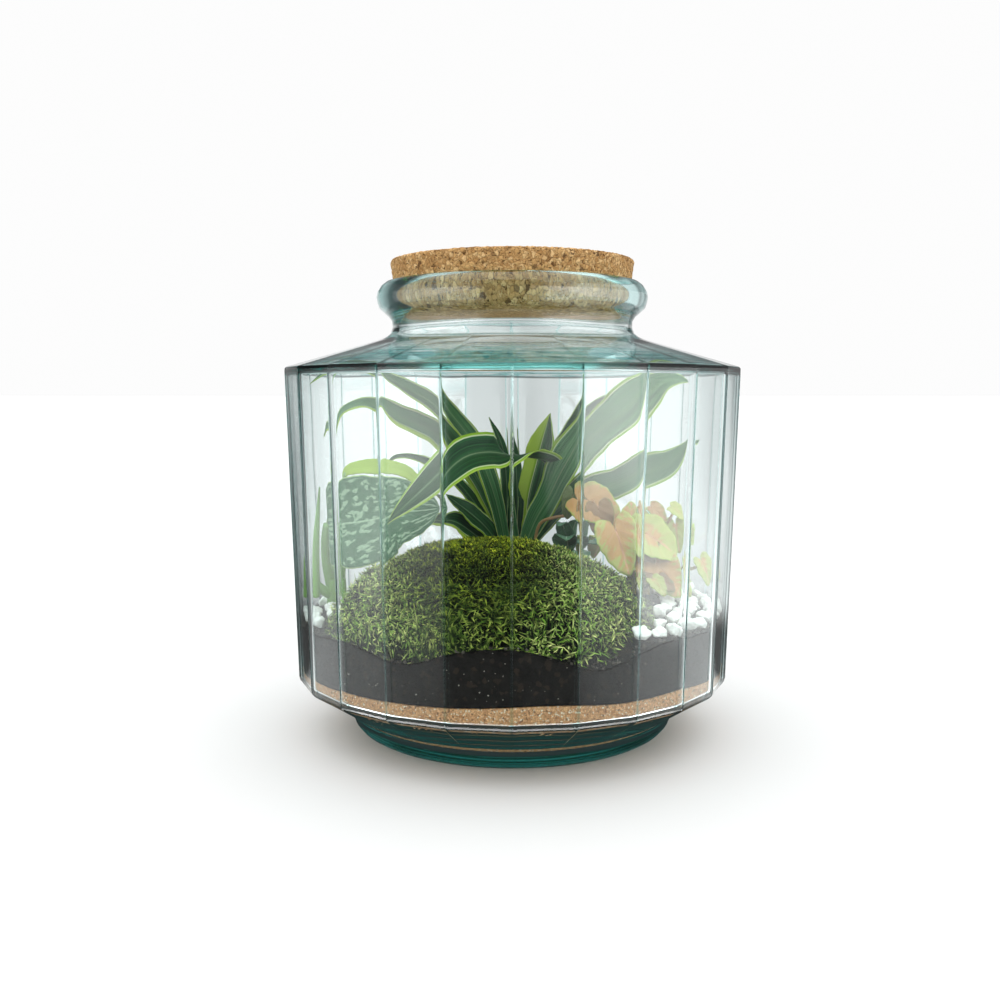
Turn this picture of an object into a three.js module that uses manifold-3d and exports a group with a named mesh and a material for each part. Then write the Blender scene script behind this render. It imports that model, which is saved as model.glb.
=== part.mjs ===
// A closed glass terrarium: a jar with 24 flat panels and a cork, which holds grit, soil, a moss cushion,
// white stones and four plants. Millimetres, +Z up. The origin is the centre of the foot's flat ring, and
// a corner of the jar's body faces -Y, the front.
import * as THREE from "three";
import { mergeVertices } from "three/addons/utils/BufferGeometryUtils.js";
import { ConvexGeometry } from "three/addons/geometries/ConvexGeometry.js";
import Module from "manifold-3d";

const wasm = await Module();
wasm.setup();

// Driving dimensions of the jar. Radii of the panelled body are taken at its corners.
const PANELS = 24;
const BODY_TOP = { radius: 140, height: 225 };
const BODY_BASE = { radius: 134.6, height: 37 };
const FOOT_RADIUS = 102;
const FOOT_REST_RADIUS = 90;
const FOOT_HEIGHT = 14;
const NECK_RADIUS = 74.5;
const NECK_HEIGHT = 254;
const LIP_RADIUS = 83.8;
const LIP_HEIGHT = 268;
const MOUTH_TOP = 277.8;
const WALL = 4.2;
const FLOOR = 9;

// The cork is a tapered plug.
const CORK_BASE = { radius: 71.6, height: 262.4 };
const CORK_TOP = { radius: 75.2, height: 291.2 };
const CORK_EDGE = 1.6;

// What fills the jar, from the bottom up. SEAT is the gap kept between pieces that touch.
const SEAT = 0.3;
const GRIT_TOP = 42;
const SOIL_RIM = 71.5;
const SOIL_RISE = 12;
const FILL_REACH = 133;
const BLOCK_REACH = 150;

// The moss cushion leans on the front panels.
const MOSS = { x: -13, y: -55, halfWidth: 87, halfDepth: 78, top: 124, foot: 68 };

const RING = 2 * PANELS; // points round a ring: each panel's corner and its middle
const FLAT = Math.cos(Math.PI / PANELS); // a panel's distance from the axis over its corner's
const TAU = 2 * Math.PI;
const FRONT = -Math.PI / 2;

const rad = THREE.MathUtils.degToRad;
const lerp = THREE.MathUtils.lerp;
const point = (x, y, z) => new THREE.Vector3(x, y, z);
const range = (count) => Array.from({ length: count }, (_, i) => i);

// A repeatable random draw between 0 and 1.
function seeded(seed) {
  let state = seed >>> 0;
  return () => {
    state = (state + 0x6d2b79f5) >>> 0;
    let mixed = Math.imul(state ^ (state >>> 15), state | 1);
    mixed ^= mixed + Math.imul(mixed ^ (mixed >>> 7), mixed | 61);
    return ((mixed ^ (mixed >>> 14)) >>> 0) / 4294967296;
  };
}

// A solid from a closed geometry.
function solidOf(geometry) {
  const bare = new THREE.BufferGeometry();
  const source = geometry.index ? geometry.toNonIndexed() : geometry;
  bare.setAttribute("position", source.getAttribute("position"));
  const merged = mergeVertices(bare, 1e-3);
  const kept = [];
  for (let i = 0; i < merged.index.count; i += 3) {
    const [a, b, c] = [0, 1, 2].map((k) => merged.index.getX(i + k));
    if (a !== b && b !== c && c !== a) kept.push(a, b, c);
  }
  const vertProperties = new Float32Array(merged.getAttribute("position").array);
  const triVerts = new Uint32Array(kept);
  return new wasm.Manifold(new wasm.Mesh({ numProp: 3, vertProperties, triVerts }));
}

// A geometry to show a solid with.
function geometryOf(solid) {
  const mesh = solid.getMesh();
  const places = new Float32Array(mesh.numVert * 3);
  for (let i = 0; i < mesh.numVert; i++) {
    places.set(mesh.vertProperties.subarray(i * mesh.numProp, i * mesh.numProp + 3), i * 3);
  }
  const geometry = new THREE.BufferGeometry();
  geometry.setAttribute("position", new THREE.BufferAttribute(places, 3));
  geometry.setIndex(new THREE.BufferAttribute(mesh.triVerts, 1));
  geometry.computeVertexNormals();
  return geometry;
}

// A geometry from triangles, each of which is three points.
const facesGeometry = (triangles) => new THREE.BufferGeometry().setFromPoints(triangles.flat());

// The largest connected piece of a solid, without the loose scraps that a cut can leave.
const mainBody = (solid) => solid.decompose().sort((a, b) => b.volume() - a.volume())[0];

const joined = (solids) => solids.reduce((whole, next) => whole.add(next));

// A closed skin through rows of points, each a ring of equal length, or one point at an end.
function skin(rows) {
  const triangles = [];
  for (let k = 0; k + 1 < rows.length; k++) {
    const [low, high] = [rows[k], rows[k + 1]];
    const count = Math.max(low.length, high.length);
    for (let i = 0; i < count; i++) {
      const next = (i + 1) % count;
      const at = (row, index) => (row.length === 1 ? row[0] : row[index]);
      if (low.length > 1) triangles.push([at(low, i), at(low, next), at(high, next)]);
      if (high.length > 1) triangles.push([at(low, i), at(high, next), at(high, i)]);
    }
  }
  return facesGeometry(triangles);
}

// A ring round the jar's axis: flat is 1 on the panelled body and 0 where the glass is round.
function ringAt(radius, height, flat) {
  if (radius === 0) return [point(0, 0, height)];
  return range(RING).map((i) => {
    const angle = FRONT + (i * TAU) / RING;
    const reach = i % 2 ? radius * (1 - flat * (1 - FLAT)) : radius;
    return point(reach * Math.cos(angle), reach * Math.sin(angle), height);
  });
}

const turned = (profile) => skin(profile.map(([radius, height, flat = 0]) => ringAt(radius, height, flat)));

// A blade of even thickness over a grid of places, with both faces split alike.
function slab(grid, normals, thickness) {
  const side = (share) =>
    grid.map((row, i) =>
      row.map((place, j) => place.clone().addScaledVector(normals[i][j], share * thickness)),
    );
  const [top, under] = [side(0.5), side(-0.5)];
  const triangles = [];
  const last = grid.length - 1;
  const edge = grid[0].length - 1;
  for (let i = 0; i < last; i++) {
    for (let j = 0; j < edge; j++) {
      triangles.push([top[i][j], top[i + 1][j], top[i + 1][j + 1]]);
      triangles.push([top[i][j], top[i + 1][j + 1], top[i][j + 1]]);
      triangles.push([under[i][j], under[i + 1][j + 1], under[i + 1][j]]);
      triangles.push([under[i][j], under[i][j + 1], under[i + 1][j + 1]]);
    }
  }
  const wall = (i0, j0, i1, j1) => {
    triangles.push([top[i0][j0], under[i0][j0], under[i1][j1]]);
    triangles.push([top[i0][j0], under[i1][j1], top[i1][j1]]);
  };
  for (let i = 0; i < last; i++) {
    wall(i, 0, i + 1, 0);
    wall(i + 1, edge, i, edge);
  }
  for (let j = 0; j < edge; j++) {
    wall(0, j + 1, 0, j);
    wall(last, j, last, j + 1);
  }
  return facesGeometry(triangles);
}

// A round tube along a curve.
function tube(curve, radius, steps, sides = 6) {
  const corners = range(sides).map((i) => {
    const angle = (i * TAU) / sides;
    return new THREE.Vector2(radius * Math.cos(angle), radius * Math.sin(angle));
  });
  return new THREE.ExtrudeGeometry(new THREE.Shape(corners), { steps, extrudePath: curve });
}

// A round bar between two heights.
function post({ x, y, low, high, radius }, sides = 10) {
  const bar = new THREE.CylinderGeometry(radius, radius, high - low, sides);
  bar.rotateX(Math.PI / 2).translate(x, y, (low + high) / 2);
  return solidOf(bar);
}

// The jar's outside from the middle of its foot to its lip: radius, height, and 1 where it has panels.
const outsideProfile = [
  [0, 2.4],
  [58, 2.4],
  [63, 0],
  [FOOT_REST_RADIUS, 0],
  [97.4, 2.8],
  [FOOT_RADIUS - 0.6, 9],
  [FOOT_RADIUS, FOOT_HEIGHT],
  [130.8, 32.4, 1],
  [BODY_BASE.radius, BODY_BASE.height, 1],
  [BODY_TOP.radius, BODY_TOP.height, 1],
  [NECK_RADIUS + 5, 243.6],
  [NECK_RADIUS, NECK_HEIGHT],
  [NECK_RADIUS + 3.4, 258.4],
  [LIP_RADIUS - 2, 262],
  [LIP_RADIUS, LIP_HEIGHT],
  [LIP_RADIUS - 2, 274],
  [LIP_RADIUS - 6.2, MOUTH_TOP],
];

// The inside of the glass, shrunk by a gap for what lies against it.
const insideProfile = (gap) => [
  [74.2 - gap, 276.4],
  [72.2 - gap, 265],
  [70.6 - gap, 248],
  [74.6 - gap, 240.4 - gap],
  [BODY_TOP.radius - WALL - gap, BODY_TOP.height - WALL - gap, 1],
  [BODY_BASE.radius - WALL - gap, BODY_BASE.height + 0.4 + gap, 1],
  [126.4 - gap, 34.2 + gap, 1],
  [FOOT_RADIUS - 4.8 - gap, 17 + gap],
  [FOOT_RADIUS - 6 - gap, 12.5 + gap],
  [90 - gap, FLOOR + gap],
  [0, FLOOR + gap],
];

const jarSolid = solidOf(turned([...outsideProfile, ...insideProfile(0)]));

// The room inside the jar, as a solid to trim its filling with.
const roomInside = (gap) => solidOf(turned([[0, 276.4], ...insideProfile(gap)].reverse()));

const corkSolid = solidOf(
  turned([
    [0, CORK_BASE.height],
    [CORK_BASE.radius - CORK_EDGE, CORK_BASE.height],
    [CORK_BASE.radius, CORK_BASE.height + CORK_EDGE],
    [CORK_TOP.radius, CORK_TOP.height - CORK_EDGE],
    [CORK_TOP.radius - CORK_EDGE, CORK_TOP.height],
    [0, CORK_TOP.height],
  ]),
);

// Both layers lie higher at the front and back than at the sides.
function gritTop(x, y) {
  const [across, deep] = [x / FILL_REACH, y / FILL_REACH];
  return GRIT_TOP + across + 4.5 * deep ** 2 + 0.8 * Math.sin(x / 17 + y / 23);
}
function soilTop(x, y) {
  const [across, deep] = [x / FILL_REACH, y / FILL_REACH];
  const mound = SOIL_RISE * (1 - across ** 2 - deep ** 2);
  return SOIL_RIM + mound + 1.5 * across + 5.5 * deep ** 2 + 0.8 * Math.sin(x / 14 + 2) * Math.cos(y / 19);
}

// A round block with a flat base and a top that follows a height.
function groundBlock(low, heightAt, rings) {
  const circle = (radius, heightOf) =>
    range(RING).map((i) => {
      const angle = FRONT + (i * TAU) / RING;
      const [x, y] = [radius * Math.cos(angle), radius * Math.sin(angle)];
      return point(x, y, heightOf(x, y));
    });
  const base = [[point(0, 0, low)], circle(BLOCK_REACH, () => low)];
  const tops = range(rings).map((k) => circle(BLOCK_REACH * (1 - k / rings), heightAt));
  return solidOf(skin([...base, ...tops, [point(0, 0, heightAt(0, 0))]]));
}

const gritBlock = groundBlock(0, gritTop, 3);
const soilBlock = groundBlock(20, soilTop, 5);
const lifted = (solid, gap) => solid.translate([0, 0, gap]);

const gritSolid = gritBlock.intersect(roomInside(SEAT));

// The stems' places, and the holes that they stand in.
const STEMS = {
  dracaena: { x: 2, y: 32, low: 60, high: 116, radius: 6.5 },
  spotted: { x: -111, y: 2, low: 60, high: 92, radius: 5 },
  arrowhead: { x: 84, y: 16, low: 60, high: 90, radius: 5 },
  netted: { x: 38, y: 26, low: 66, high: 112, radius: 2.6 },
  reaching: { x: 14, y: 24, low: 66, radius: 1.1 },
};
const stemHole = ({ x, y, low, radius }) =>
  post({ x, y, low: low - SEAT, high: 130, radius: radius + 2 * SEAT }, 12);

const soilSolid = mainBody(
  Object.values(STEMS).reduce(
    (soil, stem) => soil.subtract(stemHole(stem)),
    soilBlock.subtract(lifted(gritBlock, SEAT)).intersect(roomInside(SEAT)),
  ),
);

// The moss cushion: a dome covered with tufts, which bulges in two lobes against the front panels.
function mossDome() {
  const draw = seeded(11);
  const [sectors, rings] = [36, 16];
  const tuft = 2.3;
  const dome = (share, angle) => {
    const cleft = 0.13 * Math.exp(-(((angle - FRONT - 0.12) / 0.16) ** 2));
    const reach = share * (1 - cleft + 0.025 * Math.cos(5 * angle + 1));
    const rise = (1 - share ** 2.5) ** 0.62;
    return point(
      MOSS.x + MOSS.halfWidth * reach * Math.cos(angle),
      MOSS.y + MOSS.halfDepth * reach * Math.sin(angle),
      MOSS.foot + (MOSS.top - MOSS.foot) * rise,
    );
  };
  const rows = [[point(MOSS.x, MOSS.y, MOSS.foot - 8)]];
  for (let k = 0; k <= rings; k++) {
    const share = 1 - k / (rings + 1);
    rows.push(
      range(sectors).map((i) => {
        const place = dome(share, FRONT + ((i + 0.5 * (k % 2)) * TAU) / sectors);
        const out = point(place.x - MOSS.x, place.y - MOSS.y, 0.9 * (place.z - MOSS.foot)).normalize();
        const raised = k === 0 ? 0 : tuft * ((i + k) % 2 ? draw() : -0.6 * draw());
        return place.addScaledVector(out, raised);
      }),
    );
  }
  rows.push([dome(0, 0)]);
  return solidOf(skin(rows));
}
const mossSolid = mainBody(
  mossDome()
    .intersect(roomInside(2 * SEAT))
    .subtract(lifted(soilBlock, SEAT)),
);

// Half the width of a strap leaf, as a share of its widest, from its sheath to its tip.
function strap(t, { widest = 0.45, sheath = 0.42 }) {
  if (t < widest) return lerp(sheath, 1, Math.sin((Math.PI / 2) * (t / widest)));
  return 1 - ((t - widest) / (1 - widest)) ** 1.9;
}
// The same of an egg-shaped leaf, which ends more bluntly at its stalk or its tip where those are smaller.
function ovate(t, { widest = 0.33, heel = 0.7, blunt = 0.7 }) {
  const round = Math.sin(Math.PI * t ** (Math.log(0.5) / Math.log(widest)));
  return Math.max(0, round) ** (t < widest ? heel : blunt);
}

// A direction read off a list that is spread evenly along a leaf.
function spread(list, t) {
  const at = Math.min(t, 0.9999) * (list.length - 1);
  const low = Math.floor(at);
  return point(...list[low]).lerp(point(...list[low + 1]), at - low);
}

// A leaf through places, its upper face turned to the directions in faces, folded at the midrib and waved.
function blade(leaf, shape, { thickness = 0.9, columns = [-1, 0, 1] } = {}) {
  const { path, faces, width, fold = 0.2, wave = 0.05, waves = 3, stations = 8 } = leaf;
  const curve = new THREE.CatmullRomCurve3(path.map((at) => point(...at)));
  const grid = [];
  const normals = [];
  for (let i = 0; i <= stations; i++) {
    const t = i / stations;
    const [place, along] = [curve.getPointAt(t), curve.getTangentAt(t)];
    const across = spread(faces, t).cross(along).normalize();
    const normal = along.clone().cross(across);
    const half = Math.max((width / 2) * shape(t, leaf), 0.5);
    grid.push(
      columns.map((c) => {
        const ripple = wave * width * Math.abs(c) * Math.sin(TAU * waves * t + (c > 0 ? 0 : 1.7));
        const lift = fold * half * Math.abs(c) + ripple * Math.min(1, 4 * t * (1 - t));
        return place.clone().addScaledVector(across, c * half).addScaledVector(normal, lift);
      }),
    );
    const tilted = (c) => normal.clone().addScaledVector(across, -fold * Math.sign(c)).normalize();
    normals.push(columns.map(tilted));
  }
  return slab(grid, normals, thickness);
}

// The dragon plant: strap leaves that arch out from one short stem, listed from the front round by the left.
const DRACAENA_LEAVES = [
  {
    path: [
      [9, 35, 106], [20, 31, 135], [28, 28, 151], [30, 25, 160], [24, 18, 166], [11, 2, 170], [-2, -22, 173],
      [-14, -32, 175], [-27, -42, 173], [-40, -50, 164], [-54, -60, 152], [-72, -70, 136],
    ],
    faces: [
      [0.3, -1, 0], [0.3, -0.9, 0.2], [0.2, -0.4, 0.9], [0, 0.2, 1], [0, 0.3, 1], [0, 0.1, 1],
      [0, -0.9, 0.5], [0, -1, 0.35], [0, -1, 0.3], [0, -1, 0.3], [0, -1, 0.3],
    ],
    width: 24,
    widest: 0.67,
    fold: 0.25,
    stations: 18,
  },
  {
    path: [
      [-1, 29, 106], [-13, 20, 150], [-27, 13, 181], [-46, 9, 202], [-62, 7, 211], [-74, 5, 217],
      [-89, 2, 224], [-106, -1, 226], [-124, -5, 216],
    ],
    faces: [[0.5, -0.8, 0.1], [0.6, -0.6, 0.4], [0.2, -0.6, 0.8], [0.1, -0.3, 0.9]],
    width: 18,
    widest: 0.4,
    sheath: 0.6,
    stations: 10,
  },
  {
    path: [
      [-1, 34, 106], [-20, 33, 150], [-36, 29, 173], [-49, 27, 185], [-60, 24, 190], [-73, 20, 195],
      [-86, 16, 202], [-98, 10, 203], [-109, 4, 197], [-115, -4, 183],
    ],
    faces: [[0.7, -0.6, 0.2], [0.3, -0.8, 0.5], [0.1, -0.8, 0.6], [-0.2, -0.4, 0.9]],
    width: 20,
    stations: 11,
  },
  {
    path: [[-3, 33, 104], [-21, 30, 133], [-39, 28, 154], [-57, 25, 166], [-75, 21, 169], [-88, 17, 161]],
    faces: [[0.6, -0.7, 0.3], [0.2, -0.4, 0.9]],
    width: 12,
  },
  {
    path: [[-4, 28, 104], [-17, 15, 124], [-36, 2, 141], [-46, -4, 147]],
    faces: [[0.3, -0.6, 0.7], [0.2, -0.8, 0.5]],
    width: 16,
    sheath: 0.6,
  },
  {
    path: [[-4, 27, 102], [-20, 14, 116], [-38, 2, 129], [-56, -8, 130]],
    faces: [[0.3, -0.7, 0.6], [0.1, -0.7, 0.7]],
    width: 19,
  },
  {
    path: [[0, 38, 106], [0, 43, 146], [-4, 45, 172], [-15, 47, 194]],
    faces: [[0.1, -1, 0.1], [0.5, -0.8, 0.3]],
    width: 13,
    stations: 7,
  },
  {
    path: [[1, 38, 106], [2, 50, 152], [0, 54, 187]],
    faces: [[0.9, -0.4, 0.1], [1, -0.2, 0.1]],
    width: 10,
    stations: 6,
  },
  {
    path: [[7, 37, 106], [11, 41, 140], [18, 39, 168], [25, 34, 197]],
    faces: [[-0.4, -0.9, 0.1], [-0.5, -0.8, 0.2]],
    width: 23,
    widest: 0.66,
    sheath: 0.55,
  },
  {
    path: [
      [6, 27, 106], [15, 24, 127], [24, 19, 143], [33, 14, 161], [43, 8, 176], [56, 3, 188], [69, -1, 198],
      [82, -4, 210], [95, -7, 218], [110, -10, 217],
    ],
    faces: [[-0.3, -0.9, 0.2], [-0.5, -0.8, 0.2], [-0.5, -0.7, 0.3], [-0.4, -0.8, 0.4], [-0.1, -0.6, 0.8]],
    width: 32,
    widest: 0.72,
    sheath: 0.3,
    wave: 0.08,
    stations: 12,
  },
  {
    path: [[5, 35, 106], [26, 39, 161], [50, 42, 198], [88, 44, 217]],
    faces: [[-0.7, -0.6, 0.2], [-0.6, -0.5, 0.7]],
    width: 16,
    widest: 0.5,
  },
  {
    path: [[5, 31, 104], [29, 28, 133], [51, 23, 147], [66, 20, 151], [85, 13, 160], [99, 8, 166], [115, 4, 181]],
    faces: [[-0.4, -0.7, 0.6], [-0.3, -0.8, 0.5], [-0.3, -0.9, 0.3]],
    width: 24,
    widest: 0.7,
    wave: 0.07,
    stations: 9,
  },
  {
    path: [[3, 37, 104], [18, 60, 138], [34, 78, 152], [54, 90, 148]],
    faces: [[-0.5, -0.6, 0.5], [0, 0.1, 1]],
    width: 20,
    stations: 6,
  },
  {
    path: [[0, 38, 104], [2, 66, 142], [4, 92, 154], [4, 114, 140]],
    faces: [[0, -1, 0.3], [0, 0.4, 1]],
    width: 21,
    stations: 6,
  },
  {
    path: [[-3, 37, 104], [-16, 60, 138], [-32, 80, 150], [-52, 92, 144]],
    faces: [[0.5, -0.6, 0.5], [0, 0.1, 1]],
    width: 20,
    stations: 6,
  },
];
const dracaenaSolid = mainBody(
  joined([post(STEMS.dracaena), ...DRACAENA_LEAVES.map((leaf) => solidOf(blade(leaf, strap)))]),
);

// The spotted plant: broad leaves on sheathed stalks.
const SPOTTED_STALKS = [
  { to: [-114, -7, 128], through: [-120, 2, 108], radius: 2.6 },
  { to: [-105, 2.5, 160], through: [-122, 8, 120], radius: 1.6 },
  { to: [-123.5, -6, 92], through: [-119, -2, 84], radius: 2.6 },
  { to: [-104, 26, 118], through: [-112, 10, 106], radius: 2.0 },
];
const SPOTTED_LEAVES = [
  {
    path: [[-113, -7, 127.5], [-105, -11, 129], [-83, -20, 133], [-68, -28, 138], [-54, -34, 140], [-41, -38, 142]],
    faces: [[0.1, -0.9, 0.2], [0, -0.9, 0.3]],
    width: 58,
    widest: 0.26,
    heel: 0.25,
    blunt: 0.55,
    fold: 0.1,
    wave: 0.02,
    stations: 10,
  },
  {
    path: [
      [-108, 4, 157], [-104, 2, 161], [-98, 0, 163], [-86, -3, 164], [-73, -5, 163], [-64, -8, 160],
      [-55, -12, 153],
    ],
    faces: [[0, -0.8, 0.6], [0.1, -0.8, 0.6]],
    width: 11,
    widest: 0.4,
    blunt: 0.4,
    wave: 0.04,
  },
  {
    path: [[-105, 25, 117], [-96, 46, 128], [-84, 66, 118]],
    faces: [[0, 0, 1], [0.2, 0.4, 0.9]],
    width: 34,
    wave: 0.03,
    stations: 6,
  },
];
// The youngest leaf is still rolled up, a spike beside the front stalk.
const SPOTTED_SPIKE = { from: [-124, -6, 82], to: [-118, -9, 152], radius: 4.2 };
function stalk(start, { to, through, radius }) {
  const curve = new THREE.QuadraticBezierCurve3(point(...start), point(...through), point(...to));
  return solidOf(tube(curve, radius, 6, 5));
}
function spike({ from, to, radius }) {
  const [low, high] = [point(...from), point(...to)];
  const cone = new THREE.CylinderGeometry(0.7, radius, low.distanceTo(high), 8, 4);
  const along = high.clone().sub(low).normalize();
  cone.applyQuaternion(new THREE.Quaternion().setFromUnitVectors(point(0, 1, 0), along));
  cone.translate(...low.clone().add(high).multiplyScalar(0.5).toArray());
  return solidOf(cone);
}
const SPOTTED_GRID = { columns: [-1, -0.5, 0, 0.5, 1] };
const spottedCrown = [STEMS.spotted.x, STEMS.spotted.y, 82];
const spottedSolid = joined([
  post(STEMS.spotted),
  spike(SPOTTED_SPIKE),
  ...SPOTTED_STALKS.map((one) => stalk(spottedCrown, one)),
  ...SPOTTED_LEAVES.map((leaf) => solidOf(blade(leaf, ovate, SPOTTED_GRID))),
]);

// The arrowhead plant: leaves shaped like arrowheads, each on a thin stalk.
// Half the outline, as degrees from the tip and reach from where the stalk joins.
const ARROWHEAD = [
  [0, 1],
  [18, 0.78],
  [58, 0.49],
  [112, 0.43],
  [162, 0.2],
];
const ARROWHEAD_LEAVES = [
  { joint: [40, 0, 146], azimuth: -140, dip: 62, size: 17, roll: -45 },
  { joint: [46, -4, 143], azimuth: -18, dip: 26, size: 30, roll: 56 },
  { joint: [53, -7, 138], azimuth: -60, dip: 66, size: 22, roll: 30 },
  { joint: [63, -23, 127], azimuth: -50, dip: 60, size: 32, roll: 38 },
  { joint: [75, -8, 124], azimuth: 75, dip: -78, size: 22, roll: 10 },
  { joint: [77, -13, 121], azimuth: -80, dip: 64, size: 28, roll: 12 },
  { joint: [80, -18, 124], azimuth: -4, dip: 24, size: 30, roll: 58 },
  { joint: [87, -2, 138], azimuth: -20, dip: 30, size: 14, roll: 35 },
  { joint: [101, -2, 138], azimuth: -15, dip: 25, size: 13, roll: 35 },
  { joint: [103, 0, 127], azimuth: -60, dip: 70, size: 20, roll: 40 },
  { joint: [88, -17, 105], azimuth: -28, dip: 36, size: 30, roll: 44 },
  { joint: [84, -18, 102], azimuth: -34, dip: 22, size: 23, roll: 20 },
  { joint: [85, -29, 97], azimuth: -41, dip: 32, size: 13, roll: 24 },
  { joint: [119, 5, 103], azimuth: -30, dip: 54, size: 18, roll: 30 },
  { joint: [88, 44, 122], azimuth: 66, dip: 16, size: 34, roll: 8 },
  { joint: [64, 46, 114], azimuth: 116, dip: 20, size: 30, roll: -8 },
];
const ARROWHEAD_STALK = 1.1;

// The direction of a blade, its side and its face, for an azimuth, a dip below level and a roll.
function bladeFrame({ azimuth, dip, roll }) {
  const [a, d] = [rad(azimuth), rad(dip)];
  const along = point(Math.cos(d) * Math.cos(a), Math.cos(d) * Math.sin(a), -Math.sin(d));
  const left = point(-Math.sin(a), Math.cos(a), 0);
  const up = along.clone().cross(left);
  const across = left.multiplyScalar(Math.cos(rad(roll))).addScaledVector(up, Math.sin(rad(roll)));
  return { along, across, face: along.clone().cross(across) };
}

// A leaf with an outline about the point where its stalk joins, arched lengthwise and folded at its midrib.
function outlineLeaf(leaf, outline, { rings = [0, 0.55, 1], arch = 0.7, fold = 0.2, thickness = 0.9 } = {}) {
  const { joint, size } = leaf;
  const { along, across, face } = bladeFrame(leaf);
  const half = outline.slice(1).map(([angle, reach]) => [-angle, reach]);
  const full = [...half.reverse(), ...outline];
  const bentPlace = (u, v) => {
    const turn = (arch * u) / size;
    const [out, down] = [(Math.sin(turn) * size) / arch, ((1 - Math.cos(turn)) * size) / arch];
    const lift = fold * Math.abs(v) - down + 0.02 * size * Math.sin((7 * u) / size + (v > 0 ? 0 : 2));
    return point(...joint).addScaledVector(along, out).addScaledVector(across, v).addScaledVector(face, lift);
  };
  const bentFace = (u, v) => {
    const turn = (arch * u) / size;
    return face
      .clone()
      .multiplyScalar(Math.cos(turn))
      .addScaledVector(along, Math.sin(turn))
      .addScaledVector(across, -fold * Math.sign(v))
      .normalize();
  };
  const uv = full.map(([angle, reach]) => {
    const [u, v] = [reach * size * Math.cos(rad(angle)), reach * size * Math.sin(rad(angle))];
    return rings.map((share) => [share * u, share * v]);
  });
  const grid = uv.map((row) => row.map(([u, v]) => bentPlace(u, v)));
  const normals = uv.map((row) => row.map(([u, v], j) => (j === 0 ? face : bentFace(u, v))));
  return slab(grid.reverse(), normals.reverse(), thickness);
}

// A stalk that leaves the crown steeply and arrives under the leaf.
function leafStalk(crown, leaf, radius) {
  const [start, end] = [point(...crown), point(...leaf.joint)];
  const { along, face } = bladeFrame(leaf);
  const over = end.clone().addScaledVector(along, -0.35 * leaf.size).addScaledVector(face, -0.1 * leaf.size);
  over.z = lerp(start.z, end.z, 0.85);
  const tip = end.clone().addScaledVector(along, 0.12 * leaf.size);
  return solidOf(tube(new THREE.QuadraticBezierCurve3(start, over, tip), radius, 4, 4));
}

// One long stalk rises behind the moss and reaches over to the first leaf.
const REACHING_STALK = [
  [14, 24, 66], [14, 24, 90], [14, 19, 107], [18, 15, 126], [28, 8, 131], [37, 3, 133], [45, -3, 139],
  [50, -6, 143],
];
const arrowheadCrown = [STEMS.arrowhead.x, STEMS.arrowhead.y, 84];
const arrowheadSolid = joined([
  post(STEMS.arrowhead),
  solidOf(tube(new THREE.CatmullRomCurve3(REACHING_STALK.map((at) => point(...at))), ARROWHEAD_STALK, 9, 5)),
  ...ARROWHEAD_LEAVES.map((leaf) => leafStalk(arrowheadCrown, leaf, ARROWHEAD_STALK)),
  ...ARROWHEAD_LEAVES.map((leaf) => solidOf(outlineLeaf(leaf, ARROWHEAD))),
]);

// The netted plant: a low sprig of small oval leaves with pale veins.
const NETTED_LEAVES = [
  { azimuth: -150, rise: 8, length: 22, width: 17, base: 100 },
  { azimuth: -96, rise: 12, length: 32, width: 22, base: 107 },
  { azimuth: -40, rise: 10, length: 24, width: 18, base: 104 },
  { azimuth: 60, rise: 6, length: 22, width: 17, base: 98 },
  { azimuth: 140, rise: 6, length: 22, width: 17, base: 99 },
  { azimuth: -112, rise: 18, length: 21, width: 15, base: 109 },
  { azimuth: -62, rise: 20, length: 23, width: 18, base: 109 },
];
function nettedLeaf({ azimuth, rise, length, base, width }) {
  const [ahead, aside] = [Math.cos(rad(azimuth)), Math.sin(rad(azimuth))];
  const path = [0, 0.35, 0.7, 1].map((share) => {
    const reach = share * length;
    const height = base + rise * Math.sin(2 * share);
    return [STEMS.netted.x + reach * ahead, STEMS.netted.y + reach * aside, height];
  });
  const faces = [[-ahead, -aside, 1], [0, -0.3, 1]];
  return solidOf(blade({ path, faces, width, wave: 0.03, stations: 5 }, ovate));
}
const nettedSolid = joined([
  post(STEMS.netted, 8),
  ...NETTED_LEAVES.map(nettedLeaf),
]);

// White stones, strewn over the soil on both flanks between the moss and the glass.
const STONE_SPACING = 13.6;
const STONE_SUNK = 1.2;
const STONE_BEDS = [
  { name: "left", from: -112, to: -52, inner: 92, outer: 123 },
  { name: "right", from: 34, to: 112, inner: 92, outer: 123 },
];
const STEM_CLEARANCE = 8;

// A broken stone, let down until it is just sunk into the soil.
function stoneSolid(draw, x, y, size) {
  const stretch = [0.92 + 0.2 * draw(), 0.92 + 0.2 * draw(), 0.78 + 0.18 * draw()];
  const corners = range(17).map(() => {
    const height = 2 * draw() - 1;
    const angle = TAU * draw();
    const flatRadius = Math.sqrt(1 - height * height);
    const out = (size / 2) * (0.86 + 0.14 * draw());
    return point(
      x + out * stretch[0] * flatRadius * Math.cos(angle),
      y + out * stretch[1] * flatRadius * Math.sin(angle),
      out * stretch[2] * height,
    );
  });
  const clearance = Math.min(...corners.map((corner) => corner.z - soilTop(corner.x, corner.y)));
  corners.forEach((corner) => (corner.z -= clearance + STONE_SUNK));
  const whole = solidOf(new ConvexGeometry(corners));
  return mainBody(whole.subtract(lifted(soilBlock, SEAT)).intersect(roomInside(2 * SEAT)));
}

const clearOfStems = (x, y) =>
  Object.values(STEMS).every((stem) => Math.hypot(x - stem.x, y - stem.y) > stem.radius + STEM_CLEARANCE);

const clearOfMoss = (x, y) =>
  Math.hypot((x - MOSS.x) / (MOSS.halfWidth + 8), (y - MOSS.y) / (MOSS.halfDepth + 7)) > 1;

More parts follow.
